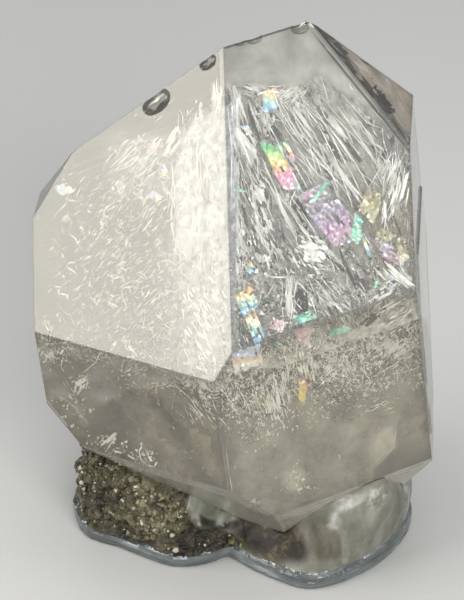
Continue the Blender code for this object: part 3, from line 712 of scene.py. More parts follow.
def new_material(name, colour, roughness, metallic=0.0, alpha=1.0):
    material = bpy.data.materials.new(name)
    material.use_nodes = True
    shader = shader_of(material)
    shader.inputs["Base Color"].default_value = (*colour, 1)
    shader.inputs["Roughness"].default_value = roughness
    shader.inputs["Metallic"].default_value = metallic
    shader.inputs["Alpha"].default_value = alpha
    return material


def glassy(material, transmission):
    shader_of(material).inputs["IOR"].default_value = QUARTZ_IOR
    shader_of(material).inputs["Transmission Weight"].default_value = transmission


def wired(material, kind, out, inputs=None, **settings):
    """A new node as a (node, output) pair, with its settings, and its inputs fed."""
    node = material.node_tree.nodes.new(kind)
    for key, value in settings.items():
        setattr(node, key, value)
    for socket, value in (inputs or {}).items():
        feed(node, socket, value)
    return node, out


def maths(material, operation, *inputs):
    return wired(material, "ShaderNodeMath", "Value", dict(enumerate(inputs)), operation=operation)


def vectors(material, operation, *inputs, out="Vector"):
    return wired(material, "ShaderNodeVectorMath", out, dict(enumerate(inputs)), operation=operation)


def spread(material, value, low, high, start=0.0, end=1.0, way="LINEAR"):
    """Carries a value from one range to another, and holds it at both ends."""
    inputs = {"Value": value, "From Min": low, "From Max": high, "To Min": start, "To Max": end}
    return wired(material, "ShaderNodeMapRange", "Result", inputs, interpolation_type=way)


def ramp(material, value, stops):
    """A value turned into colours."""
    node, out = wired(material, "ShaderNodeValToRGB", "Color", {"Fac": value})
    elements = node.color_ramp.elements
    while len(elements) < len(stops):
        elements.new(0.5)
    for element, (place, colour) in zip(elements, stops):
        element.position = place
        element.color = (*colour, 1)
    return node, out


def axes(material, kind="Object"):
    return wired(material, "ShaderNodeTexCoord", kind)


def cloud(material, scale, detail=4.0, roughness=0.55, distortion=0.0, place=None, **settings):
    """A noise over the object's own axes, or over another place. Its scale is in waves per unit."""
    inputs = {"Scale": scale, "Detail": detail, "Roughness": roughness, "Distortion": distortion}
    inputs["Vector"] = place or axes(material)
    return wired(material, "ShaderNodeTexNoise", "Fac", inputs, **settings)


def streaky(material, scale, stretch, turn=(0, 0, 0), detail=3.0):
    """A noise that is drawn out along one of the object's axes."""
    rotation = [radians(angle) for angle in turn]
    inputs = {"Vector": axes(material), "Scale": stretch, "Rotation": rotation}
    return cloud(material, scale, detail, 0.6, place=wired(material, "ShaderNodeMapping", "Vector", inputs))


def near(material, place, radius):
    """1 at a place in millimetres, falling to 0 at the radius."""
    middle = tuple(value * MM for value in place)
    offset = vectors(material, "DISTANCE", axes(material), middle, out="Value")
    return spread(material, offset, 0.3 * radius * MM, radius * MM, 1, 0, "SMOOTHSTEP")


def blend(material, share, first, second, way="MIX"):
    """A mix of two colours, each one a row of four numbers or a (node, output) pair."""
    inputs = {0: share, 6: first, 7: second}
    return wired(material, "ShaderNodeMix", 2, inputs, data_type="RGBA", blend_type=way)


def ridge(material, height, strength, distance):
    """A bump of the surface, distance in millimetres."""
    inputs = {"Height": height, "Strength": strength, "Distance": distance * MM}
    feed(shader_of(material), "Normal", wired(material, "ShaderNodeBump", "Normal", inputs))


def clear_quartz(name, colours, transmission, roughness, cloud_scale=90.0, bump=0.15):
    """See-through quartz whose haze varies between two colours."""
    material = new_material(name, colours[0], roughness)
    glassy(material, transmission)
    haze = cloud(material, cloud_scale, 6.0, 0.6, 0.6)
    feed(shader_of(material), "Base Color", ramp(material, haze, list(zip((0.32, 0.68), colours))))
    ridge(material, cloud(material, 900.0), bump, 0.1)
    inputs = {"Color": QUARTZ_ABSORPTION, "Density": QUARTZ_DENSITY}
    volume = wired(material, "ShaderNodeVolumeAbsorption", "Volume", inputs)
    feed(material.node_tree.nodes["Material Output"], "Volume", volume)
    return material


def crackle_material(name, cell, roughness, metallic, stops, gaps, tilt=0.6, lines=0.05, strength=1.0):
    """Crushed glassy splinters along a sheet's map: a tone and a tilt for each, bright borders, gaps."""
    material = new_material(name, stops[-1][1], roughness, metallic)
    shader = shader_of(material)
    inputs = {"Vector": axes(material, "UV"), "Scale": (1 / cell[0], 1 / cell[1], 1)}
    cells = wired(material, "ShaderNodeMapping", "Vector", inputs)
    bend = cloud(material, 0.8, 5.0, 0.62, place=cells, noise_dimensions="2D")
    warped = vectors(material, "MULTIPLY_ADD", (bend[0], "Color"), (1.6, 1.6, 0), cells)

    def splinters(scale, out, feature):
        inputs = {"Vector": warped, "Scale": scale}
        return wired(material, "ShaderNodeTexVoronoi", out, inputs, voronoi_dimensions="2D", feature=feature)

    def border_line(scale, reach):
        distance = splinters(scale, "Distance", "DISTANCE_TO_EDGE")
        return spread(material, distance, 0, reach, 1, 0)

    fine = splinters(3.1, "Color", "F1")
    kinds = wired(material, "ShaderNodeSeparateColor", "Red", {"Color": splinters(0.7, "Color", "F1")})
    small = wired(material, "ShaderNodeSeparateColor", "Red", {"Color": fine})
    small = maths(material, "MULTIPLY", small, 0.6)
    tone = maths(material, "MULTIPLY_ADD", kinds, 0.4, small)
    speck = cloud(material, 9.0, 4.0, 0.7, place=warped, noise_dimensions="2D")
    mottled = maths(material, "MULTIPLY_ADD", speck, 0.9, tone)
    shades = ramp(material, maths(material, "SUBTRACT", mottled, 0.45), stops)
    small_lines = maths(material, "MULTIPLY", border_line(3.1, lines), spread(material, bend, 0.42, 0.6))
    all_lines = maths(material, "MAXIMUM", small_lines, border_line(0.7, 0.6 * lines))
    feed(shader, "Base Color", blend(material, all_lines, shades, LINE_WHITE))
    solid = maths(material, "GREATER_THAN", (kinds[0], "Green"), gaps)
    cover = maths(material, "MAXIMUM", solid, all_lines)
    feed(shader, "Alpha", maths(material, "MULTIPLY", cover, strength))
    normal = wired(material, "ShaderNodeNewGeometry", "Normal")
    flat = vectors(material, "SUBTRACT", normal, (0.5 * tilt, 0.5 * tilt, 0.5 * tilt))
    tipped = vectors(material, "MULTIPLY_ADD", fine, (tilt, tilt, tilt), flat)
    feed(shader, "Normal", vectors(material, "NORMALIZE", tipped))
    return material


def haze_material(name, colour, strength, scale, thinnest):
    """Milky cloud whose cover follows its own map: the first coordinate is how thick it is there."""
    material = new_material(name, colour, 0.6)
    thick = wired(material, "ShaderNodeSeparateXYZ", "X", {"Vector": axes(material, "UV")})
    wisps = spread(material, cloud(material, scale, 6.0, 0.62, 0.25), 0.36, 0.62, thinnest)
    cover = maths(material, "MULTIPLY", thick, wisps)
    feed(shader_of(material), "Alpha", maths(material, "MULTIPLY", cover, strength))
    return material


def spectrum_material(name, stops):
    """Thin-film colours that run along a flake."""
    material = new_material(name, stops[0][1], 0.25, 0.25)
    place = axes(material, "UV")
    along = wired(material, "ShaderNodeSeparateXYZ", "X", {"Vector": place})
    stretch = wired(material, "ShaderNodeMapping", "Vector", {"Vector": place, "Scale": (1.6, 9.0, 1)})
    stripes = cloud(material, 1.0, 4.0, 0.6, place=stretch, noise_dimensions="2D")
    wobble = maths(material, "MULTIPLY_ADD", stripes, 0.5, along)
    shades = ramp(material, maths(material, "SUBTRACT", wobble, 0.25), stops)
    silver = spread(material, cloud(material, 2200.0, 5.0, 0.7), 0.46, 0.62, 0, 0.7)
    feed(shader_of(material), "Base Color", blend(material, silver, shades, SILVER))
    return material


# The crystal's own surface

def mesh_object(name, mesh, materials=()):
    data = bpy.data.meshes.new(name)
    mesh.to_mesh(data)
    mesh.free()
    for material in materials:
        data.materials.append(material)
    new = bpy.data.objects.new(name, data)
    bpy.context.collection.objects.link(new)
    return new


def add_piece(name, mesh, materials):
    piece = mesh_object(name, mesh, materials)
    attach(piece, "root")
    return piece


def cut_at(mesh, face, place):
    """Cuts a mesh off along a face's direction through a place in metres, and takes its outer side away."""
    return bmesh.ops.bisect_plane(
        mesh, geom=mesh.verts[:] + mesh.edges[:] + mesh.faces[:], dist=1e-8,
        plane_co=place, plane_no=NORMALS[face], clear_outer=True,
    )


def cut_crystal(distances, slots):
    """The closed solid inside all the named faces, with each face's material slot."""
    centre = CENTRE * MM
    mesh = bmesh.new()
    bmesh.ops.create_cube(mesh, size=200 * MM, matrix=Matrix.Translation(centre))
    for face, distance in distances.items():
        cut = cut_at(mesh, face, centre + NORMALS[face] * distance * MM)
        rim = [item for item in cut["geom_cut"] if isinstance(item, bmesh.types.BMEdge)]
        if rim:
            bmesh.ops.contextual_create(mesh, geom=rim)
    bmesh.ops.recalc_face_normals(mesh, faces=mesh.faces[:])
    for item in mesh.faces:
        item.material_index = slots.get(max(NORMALS, key=lambda name: NORMALS[name].dot(item.normal)), 0)
    return mesh


def baked(piece):
    """The mesh of an object with its modifiers, and the object and its tools removed."""
    tools = [modifier.object for modifier in piece.modifiers if modifier.type == "BOOLEAN"]
    graph = bpy.context.evaluated_depsgraph_get()
    mesh = bmesh.new()
    mesh.from_mesh(piece.evaluated_get(graph).to_mesh())
    for old in (*tools, piece):
        bpy.data.objects.remove(old, do_unlink=True)
    return mesh


def changed(mesh, tool, operation, materials):
    """The mesh after one Boolean step."""
    piece = mesh_object("blank", mesh, materials)
    modifier = piece.modifiers.new("step", "BOOLEAN")
    modifier.object = mesh_object("tool", tool, materials)
    modifier.operation = operation
    modifier.solver = "EXACT"
    return baked(piece)


def edge_point(first, second, x):
    """The point of the edge between two faces that lies at a given X, in millimetres."""
    rows = Matrix((NORMALS[first], NORMALS[second], Vector((1, 0, 0))))
    return CENTRE + rows.inverted() @ Vector((FACE_DISTANCE[first], FACE_DISTANCE[second], x - CENTRE.x))


def chip_tool(place, outward, edge, radius, depth, index, spin):
    """A ball with faint rings, drawn out along an edge, whose inner side leaves a shell-shaped scoop."""
    mesh = bmesh.new()
    bmesh.ops.create_uvsphere(mesh, u_segments=40, v_segments=36, radius=radius)
    for vert in mesh.verts:
        fall = vert.co.angle(Vector((0, 0, -1)))
        vert.co *= 1 + CHIP_RIPPLE_DEPTH * cos(2 * CHIP_RIPPLES * fall)
    turn = Matrix((edge, outward.cross(edge), outward)).transposed().to_4x4()
    drawn = Matrix.Diagonal((CHIP_STRETCH, 1, 1, 1)) @ Matrix.Rotation(spin, 4, "Z")
    stand_off = place + outward * (radius - depth)
    mesh.transform(Matrix.Scale(MM, 4) @ Matrix.Translation(stand_off) @ turn @ drawn)
    for item in mesh.faces:
        item.material_index = index
    return mesh


def chipped(mesh, chip, index, materials):
    """The mesh with one chip out of it. The ball is turned a little where a step leaves part of it."""
    first, second, x, onset, radius, depth = chip
    edge = NORMALS[first].cross(NORMALS[second]).normalized()
    place = edge_point(first, second, x) + NORMALS[first].cross(edge) * onset
    for spin in CHIP_SPINS:
        ball = chip_tool(place, NORMALS[first], edge, radius, depth, index, spin)
        result = changed(mesh.copy(), ball, "DIFFERENCE", materials)
        if max(outside(vert.co / MM) for vert in result.verts) < MOST_PROUD:
            return result
        result.free()
    return mesh


def build_hull():
    """The crystal's own surface: the named faces with worn edges whose whitish look is partly painted
    highlight, growth plates and chips.
    """
    names = list(HULL_LOOKS)
    materials = [clear_quartz(f"quartz_{name}", *look) for name, look in HULL_LOOKS.items()]
    worn_highlight = names.index("worn_edge_highlight")
    slots = {face: names.index(kind) for face, kind in FACE_LOOKS.items()}
    mesh = cut_crystal(FACE_DISTANCE, slots)
    # The bevels take the worn edges' look: real wear, with painted highlight along the edges.
    bmesh.ops.bevel(
        mesh, geom=mesh.edges[:], offset=EDGE_WEAR * MM, segments=2, profile=0.5, affect="EDGES",
        clamp_overlap=True, material=worn_highlight,
    )
    for face, proud, insets in GROWTH_PLATES + LEDGES:
        distances = {other: reach - insets.get(other, PLATE_INSET) for other, reach in FACE_DISTANCE.items()}
        distances[face] = FACE_DISTANCE[face] + proud
        # The plates' side walls take the worn edges' paler look too: painted light where clear walls would
        # show dark.
        own = {other: worn_highlight for other in FACE_DISTANCE}
        own[face] = slots.get(face, 0)
        mesh = changed(mesh, cut_crystal(distances, own), "UNION", materials)
    for chip in CHIPS:
        mesh = chipped(mesh, chip, names.index("chip"), materials)
    hull = add_piece("crystal_body", mesh, materials)
    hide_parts("crystal")


# Splinters, leaves and sheets inside the crystal

def ribbon(mesh, ends, width, flat_on, twist, bow):
    """A thin curved strip between two points in millimetres, broadside to a direction before its twist."""
    a, b = ends
    span = b - a
    if span.length < 0.02:
        return
    axis = span.normalized()
    side = axis.cross(flat_on).normalized()
    side.rotate(Matrix.Rotation(twist, 3, axis))
    rows = []
    for step in range(RIBBON_STEPS + 1):
        share = step / RIBBON_STEPS
        middle = a.lerp(b, share) + side * bow * sin(pi * share)
        half = 0.5 * width * sin(pi * (0.08 + 0.84 * share)) * dice.uniform(0.6, 1.3)
        rows.append((middle - side * half, middle + side * half))
    if any(outside(point) > -ROOM for row in rows for point in row):
        return
    verts = [(mesh.verts.new(low * MM), mesh.verts.new(high * MM)) for low, high in rows]
    for (low, high), (next_low, next_high) in zip(verts, verts[1:]):
        mesh.faces.new((low, high, next_high, next_low))


def streak(mesh, px, py, angle, length, width, depth, tilt=20, bow=0.0):
    """A strip that shows at a pixel at an angle in degrees, lengths in pixels of the frame."""
    dx = 0.5 * length * cos(radians(angle))
    dy = 0.5 * length * sin(radians(angle))
    face = surface_at(px - dx, py - dy)[0]
    if face != surface_at(px + dx, py + dy)[0]:
        return
    wander = min(0.4, 0.02 * length)
    start = under(px - dx, py - dy, max(LEAST_DEPTH, depth + dice.uniform(-wander, wander)))
    end = under(px + dx, py + dy, max(LEAST_DEPTH, depth + dice.uniform(-wander, wander)))
    twist = radians(dice.gauss(0, tilt))
    ribbon(mesh, (start, end), width * PIXEL, NORMALS[face], twist, bow * PIXEL)


def crumb(mesh, px, py, size, depth):
    """A splinter of three or four corners that shows at a pixel."""
    corners = []
    spin = dice.uniform(0, 360)
    for corner in range(dice.choice((3, 3, 4))):
        turn = radians(spin + corner * 95 + dice.uniform(-25, 25))
        reach = size * dice.uniform(0.3, 1.0) * 0.5
        depth_here = max(LEAST_CRUMB_DEPTH, depth + dice.gauss(0, 0.5) * size * PIXEL)
        corners.append(under(px + reach * cos(turn), py + reach * sin(turn), depth_here))
    if all(outside(point) < -0.1 for point in corners):
        mesh.faces.new([mesh.verts.new(point * MM) for point in corners])


def polyline(mesh, points, width, depth):
    """A thin line through the pixels given."""
    for (x0, y0), (x1, y1) in zip(points, points[1:]):
        angle = degrees(atan2(y1 - y0, x1 - x0))
        streak(mesh, (x0 + x1) / 2, (y0 + y1) / 2, angle, hypot(x1 - x0, y1 - y0) * 1.15, width, depth, 5, 0)


def quilted(mesh, places, grid):
    """Faces between the neighbours in a grid of (vertex, place on the map)."""
    for (i, j), corner in grid.items():
        others = [grid.get(key) for key in ((i + 1, j), (i + 1, j + 1), (i, j + 1))]
        if all(others):
            corners = [corner, *others]
            made = mesh.faces.new([item[0] for item in corners])
            for loop, item in zip(made.loops, corners):
                loop[places].uv = item[1]


def drop_loose(mesh, verts):
    bmesh.ops.delete(mesh, geom=[vert for vert in verts if not vert.link_faces], context="VERTS")


def leaf(mesh, px, py, length, width, angle, depth, crumple=0.12, ragged=0.26):
    """A small crumpled shard at a pixel, ragged and split along its length, with a map from end to end."""
    columns = max(8, int(length / 1.1))
    rows = max(6, int(width / 0.9))
    turn = radians(angle)
    face = surface_at(px, py)[0]
    places = mesh.loops.layers.uv.verify()
    seed = dice.uniform(0, 100)
    lean = LEAF_SHEAR * dice.choice((-1, 1))
    grid = {}
    for i in range(columns + 1):
        for j in range(rows + 1):
            u = i / columns - 0.5
            v = j / rows - 0.5
            end = 0.5 * (1 - ragged * (0.5 + 0.5 * wave(v * 7, 0, seed, 1)))
            side = 0.5 * (1 - ragged * (0.5 + 0.5 * wave(u * 4, 9, seed, 1)))
            split = wave(u * length, v * width, seed + 5, 12, 2.2) < -0.5
            if abs(u + lean * v) > end or abs(v) > side or split:
                continue
            x = px + length * u * cos(turn) - width * v * sin(turn)
            y = py + length * u * sin(turn) + width * v * cos(turn)
            if surface_at(x, y)[0] == face:
                point = under(x, y, max(LEAST_DEPTH, depth + crumple * wave(x, y, seed, 4)))
                if outside(point) < -ROOM:
                    grid[i, j] = (mesh.verts.new(point * MM), (u + 0.5, v + 0.5))
    quilted(mesh, places, grid)
    drop_loose(mesh, [item[0] for item in grid.values()])


def sheet(name, face, box, step, room, depth_at, keeps, map_at, material):
    """A surface below a face in a box of the picture, where it is kept, with its own map."""
    mesh = bmesh.new()
    places = mesh.loops.layers.uv.verify()
    left, top, right, bottom = box
    grid = {}
    for i in range(int((right - left) / step) + 1):
        for j in range(int((bottom - top) / step) + 1):
            px = left + i * step
            py = top + j * step
            if keeps(px, py):
                point = below(face, px, py, max(LEAST_SHEET_DEPTH, depth_at(px, py)))
                if outside(point) < SHEET_OVERSHOOT:
                    grid[i, j] = (mesh.verts.new(point * MM), map_at(px, py))
    quilted(mesh, places, grid)
    for other, distance in FACE_DISTANCE.items():
        if other != face:
            cut_at(mesh, other, (CENTRE + NORMALS[other] * (distance - room)) * MM)
    bmesh.ops.triangulate(mesh, faces=mesh.faces[:])
    drop_loose(mesh, mesh.verts)
    add_piece(name, mesh, [material])


# Milky clouds

def phantom_border(py):
    """The column of the border of the faint inner facet low in the front face, row by row."""
    return stepped(py, PHANTOM_COLUMN, PHANTOM_STEPS)


def edge_fade(face, other, px, py, depth):
    """0 near another face, rising to 1 inside."""
    room = FACE_DISTANCE[other] - NORMALS[other].dot(below(face, px, py, depth) - CENTRE)
    return between(room, 0.3, 2.8)


def top_cover(px, py):
    return between(front_zone(px, py), 12, -6) + 0.15 * window("front_top", px, py)


def ground_cover(px, py):
    zone = front_zone(px, py)
    streaked = 0.4 * ridges(px, py, 62, 5, 26, 77.5)
    low = 0.25 * window("front_low", px, py)
    return between(zone, -6, 8) * (0.72 + 0.4 * between(zone, 40, 0) + low + streaked)


def gold_cover(px, py):
    return 0.8 * window("gold", px, py)


def veil_cover(px, py):
    wander = 8 * wave(px, py, 31, 12)
    border = stepped(py, VEIL_COLUMN, VEIL_COLUMN_STEPS) + wander
    top = stepped(px, VEIL_ROW, VEIL_ROW_STEPS) + wander
    band = between(px, border - 2, border + 10) * between(py, top - 8, top + 10)
    band *= window("veil_band", px, py)
    return max(band, 0.8 * window("veil_low", px, py), 0.35 * window("veil_streaks", px, py))


def low_cover(px, py):
    floor = lower_border(px)
    border = phantom_border(py)
    facet = between(px, border + 5, border - 3)
    down = py - UPPER_EDGE_ROW + UPPER_EDGE_SLOPE * (px - UPPER_EDGE_COLUMN)
    cloud_edge = 0.4 * between(py, floor - 40, floor) * window("low_cloud", px, py)
    upper = 0.32 * between(down, 6, 30) * window("low_upper", px, py)
    lower = 0.5 * between(down, 6, 45) * (0.45 + 0.55 * facet)
    right = 0.8 * window("low_right", px, py) * facet
    spots = max(disc("milk", px, py), 0.6 * disc("middle", px, py))
    return max(spots, right, cloud_edge, upper, lower) * edge_fade("m60", "m0", px, py, LOW_DEPTH)


def low_left_cover(px, py):
    milky = 0.1 + 0.45 * window("low_milk", px, py)
    return max(0.8 * disc("tan", px, py), milky) * edge_fade("m0", "m60", px, py, LOW_LEFT_DEPTH)


def smoke_left_cover(px, py):
    bands = max(0, 0.5 + wave(px, py, 71, 26, 15))
    return (0.1 + 1.7 * window("smoke_left", px, py)) * bands + 0.35 * disc("brown_left", px, py)


def smoke_front_cover(px, py):
    bands = max(0, wave(px, py, 73, 24, 15))
    border = phantom_border(py)
    facet = 0.18 * between(px, border - 3, border + 5) * window("smoke_facet", px, py)
    return facet + 0.5 * bands * window("smoke_front", px, py) + 0.35 * disc("brown_front", px, py)


def side_offset(px, py):
    """How far a pixel lies inside the narrow face at the right, from its upper edge, in pixels."""
    return (px - SIDE_CORNER[0]) * SIDE_ACROSS - (py - SIDE_CORNER[1]) * SIDE_DOWN


def tan_cover(px, py):
    return 0.8 * between(side_offset(px, py), 1, 7)


def brown_cover(px, py):
    border = 3 + 7 * wave(px, py, 75, 11)
    return 0.95 * between(side_offset(px, py), border + 3, border - 5) * window("side_top", px, py)


# The clouds: the piece, its face, its box of the picture, depth, cover and look.
HAZE_SHEETS = (
    ("haze_front_top", "t60", (216, 10, 430, 366), 0.5, top_cover, "haze_top"),
    ("haze_front_gold", "t60", (336, 150, 430, 300), 0.8, gold_cover, "haze_gold"),
    ("haze_front_deep", "t60", (216, 30, 430, 366), 2.6, ground_cover, "haze_front"),
    ("haze_veil_left", "t0", (24, 70, 236, 390), 0.7, veil_cover, "haze_veil"),
    ("haze_low_front", "m60", (204, 285, 445, 525), LOW_DEPTH, low_cover, "haze_low"),
    ("haze_low_left", "m0", (24, 320, 242, 510), LOW_LEFT_DEPTH, low_left_cover, "haze_low_left"),
    ("smoke_left", "m0", (24, 320, 242, 510), 1.2, smoke_left_cover, "smoke"),
    ("smoke_front", "m60", (204, 320, 445, 525), 2.2, smoke_front_cover, "smoke"),
    ("haze_side", "t120", (306, 10, 420, 156), 0.9, tan_cover, "haze_tan"),
    ("smoke_side", "t120", (306, 10, 420, 156), 0.5, brown_cover, "smoke_side"),
)


def build_haze():
    """Milky clouds, each as thick as its cover says at each pixel."""
    looks = {name: haze_material(name, *look) for name, look in HAZE_LOOKS.items()}
    for name, face, box, depth, cover, look in HAZE_SHEETS:
        rules = (lambda px, py: depth, lambda px, py: True, lambda px, py: (cover(px, py), 0))
        sheet(name, face, box, HAZE_STEP, ROOM, *rules, looks[look])


# Sheets of crushed splinters

def directed(angle):
    """A sheet's map that runs along a direction of the picture."""
    return lambda px, py: turned(px, py, angle)


def fan_rules(number, angle, depth, share, edges):
    """The depth of a fan under the front face, where it is kept, and its map."""
    seed = 10 * number

    def depth_at(px, py):
        crease = 0.35 * facets(px, py, angle, 7, 30, seed + 1.5)
        rough = 0.25 * ridges(px, py, angle, 3.4, 18, seed + 1.5)
        return depth + 0.8 * wave(px, py, seed + 2, 35) + crease + rough

    def keeps(px, py):
        wanted = share * between(front_zone(px, py), 2, 14) * between(px, edges[0], edges[1])
        wanted *= between(px, edges[3], edges[2]) * window("fan", px, py)
        return share_kept(px, py, angle, 8, 46, seed + 7.5) < wanted

    return depth_at, keeps, directed(angle)


def crushed_depth(px, py):
    rough = 0.30 * facets(px, py, 40, 6, 9, 51.5) + 0.2 * ridges(px, py, 40, 2.4, 3, 52.5)
    return 0.9 + 0.7 * wave(px, py, 53, 22) + rough


def crushed_keeps(px, py):
    floor = lower_border(px)
    share = between(py, CRUSHED_TOP, stepped(px, CRUSHED_FULL, CRUSHED_STEPS))
    share *= between(py, floor + 4, floor - 40)
    return share_kept(px, py, 40, 6, 9, 54.5) < 0.64 * share


def crushed_map(px, py):
    return turned(px, py, 64 + 30 * wave(px, py, 57, 60))


def deep_depth(px, py):
    rough = 0.6 * ridges(px, py, 66, 4.0, 15, 11.5) + 0.2 * ridges(px, py, 50, 1.8, 6, 12.5)
    return 4.5 + 1.6 * wave(px, py, 12, 30) + rough


def deep_keeps(px, py):
    return ridges(px, py, 62, 12, 46, 17.5) > -0.5 + between(front_zone(px, py), 22, 2)


def left_depth(px, py):
    crease = 0.30 * facets(px, py, 88, 4.5, 16, 21.5) + 0.12 * facets(px, py, 60, 3, 5, 22.5)
    return 1.2 + 0.6 * wave(px, py, 22, 25) + crease


def veil_keeps(px, py):
    wander = 5 * wave(px, py, 31, 7, 12)
    border = stepped(py, VEIL_COLUMN + 1, VEIL_COLUMN_STEPS) + wander
    top = stepped(px, VEIL_ROW - 4, VEIL_ROW_STEPS) + 2 * wander
    band = between(px, border - 4, border + 8) * between(py, top - 12, top + 14)
    return share_kept(px, py, 88, 3, 22, 27.5) < 0.92 * band * window("veil_sheet", px, py)


def mottled_keeps(px, py):
    wanted = max(0.74 * window("mottled_low", px, py), 0.52 * window("mottled_streaks", px, py), 0.20)
    return share_kept(px, py, 40, 3, 7, 37.5) < wanted


def lines_depth(px, py):
    return 0.9 + 0.5 * wave(px, py, 62, 18)


def lines_keep(px, py):
    return py > LINES_TOP and 0.5 + wave(px, py, 64, 28) > 0.28 * (1 + window("left_edge", px, py))


# The cloud of crushed splinters: the end of the piece's name, its face and its box of the picture.
CRUSHED_SHEETS = (
    ("upper", "t60", (216, 240, 430, 366)), ("lower", "m60", (206, 285, 440, 452)),
    ("left", "m0", (30, 322, 244, 450)),
)
# The other sheets: the piece, its face, its box, step, room to other faces, rules, direction and look.
PLAIN_SHEETS = (
    ("sheet_deep", "t60", (220, 70, 424, 366), 1.4, 0.4, (deep_depth, deep_keeps), 62, "foil_deep"),
    ("veil_left", "t0", (24, 80, 236, 310), 1.1, SHEET_ROOM, (left_depth, veil_keeps), 87, "veil"),
    ("mottled_left", "t0", (24, 90, 236, 390), 1.2, SHEET_ROOM, (left_depth, mottled_keeps), RISING_ANGLE,
     "mottled"),
    ("lines_left", "t0", (24, 100, 236, 390), 2.0, SHEET_ROOM, (lines_depth, lines_keep), RISING_ANGLE,
     "lines"),
)


def build_sheets():
    looks = {name: crackle_material(f"fracture_{name}", *look) for name, look in CRACKLE_LOOKS.items()}
    for number, (box, *fan) in enumerate(FRONT_FANS):
        name = f"fracture_fan_{number + 1}"
        sheet(name, "t60", box, SHEET_STEP, SHEET_ROOM, *fan_rules(number, *fan), looks["foil"])
    rules = (crushed_depth, crushed_keeps, crushed_map)
    for name, face, box in CRUSHED_SHEETS:
        sheet(f"fracture_crushed_{name}", face, box, SHEET_STEP, SHEET_ROOM, *rules, looks["crushed"])
    for name, face, box, step, room, rules, angle, look in PLAIN_SHEETS:
        sheet(f"fracture_{name}", face, box, step, room, *rules, directed(angle), looks[look])


# Thin-film flakes, and single splinters

def build_flakes():
    for palette, (stops, flakes) in FLAKES.items():
        mesh = bmesh.new()
        for flake in flakes:
            leaf(mesh, *flake)
        add_piece(f"flakes_{palette}", mesh, [spectrum_material(f"thin_film_{palette}", stops)])


def on_flake(px, py):
    """Whether a pixel lies over one of the larger thin-film flakes of the front face."""
    for _, flakes in FLAKES.values():
        for x, y, length, width, angle, _ in flakes:
            turn = radians(angle)
            along = (px - x) * cos(turn) + (py - y) * sin(turn)
            across = -(px - x) * sin(turn) + (py - y) * cos(turn)
            if length >= LARGE_FLAKE and abs(along) < 0.5 * length and abs(across) < 0.5 * width + 2:
                return True
    return False


def bundle(mesh, place, size, angle, count, length, width, depth):
    """Strips side by side in a patch of the picture."""
    for _ in range(count):
        px = place[0] + dice.gauss(0, size[0] / 3)
        py = place[1] + dice.gauss(0, size[1] / 3)
        if not on_flake(px, py):
            streak(mesh, px, py, angle + dice.gauss(0, 6), length * dice.uniform(0.4, 1.2),
                   width * dice.uniform(0.5, 1.4), depth * dice.uniform(0.6, 1.6), 14,
                   dice.gauss(0, 0.05) * length)


def shard(mesh, outline, px, py, angle, length, width, depth, dip, roll):
    """A long flat crack that shows at a pixel, pointed at its ends, with a bright line along its borders."""
    turn = radians(angle)
    face = surface_at(px, py)[0]
    steps = max(5, int(length / 4))
    lean = dice.uniform(-0.8, 0.8)
    belly = dice.uniform(-0.25, 0.25)
    seed = dice.uniform(0, 100)
    sides = {-1: [], 1: []}
    for step in range(steps + 1):
        u = step / steps - 0.5
        half = 0.5 * width * (1 - abs(2 * u) ** 2.5) + 0.06 * width
        for side, row in sides.items():
            v = side * half * (1 + 0.35 * wave(u * length / 7, side, seed, 1))
            along = length * u + lean * v
            across = v + belly * width * cos(pi * u)
            x = px + along * cos(turn) - across * sin(turn)
            y = py + along * sin(turn) + across * cos(turn)
            if surface_at(x, y)[0] != face:
                return
            level = depth + dip * u + roll * v * PIXEL + 0.08 * wave(u * 6, side, seed, 1)
            point = under(x, y, max(LEAST_DEPTH, level))
            if outside(point) > -ROOM:
                return
            row.append(point)
    low, high = [[mesh.verts.new(point * MM) for point in row] for row in sides.values()]
    for step in range(steps):
        mesh.faces.new((low[step], low[step + 1], high[step + 1], high[step]))
    lift = NORMALS[face] * 0.03
    for row in sides.values():
        if dice.random() < 0.6:
            first = dice.randrange(0, max(1, steps // 3))
            last = dice.randrange(steps // 2, steps)
            for step in range(first, last):
                ends = (row[step] + lift, row[step + 1] + lift)
                ribbon(outline, ends, dice.uniform(0.6, 1.4) * PIXEL, NORMALS[face], 0, 0)


def drawn_pixels(count, box, faces, keeps):
    """Pixels drawn at random in a box of the picture, over the faces named and where they are kept."""
    left, top, right, bottom = box
    while count > 0:
        px = dice.uniform(left, right)
        py = dice.uniform(top, bottom)
        if surface_at(px, py)[0] in faces and keeps(px, py):
            count -= 1
            yield px, py


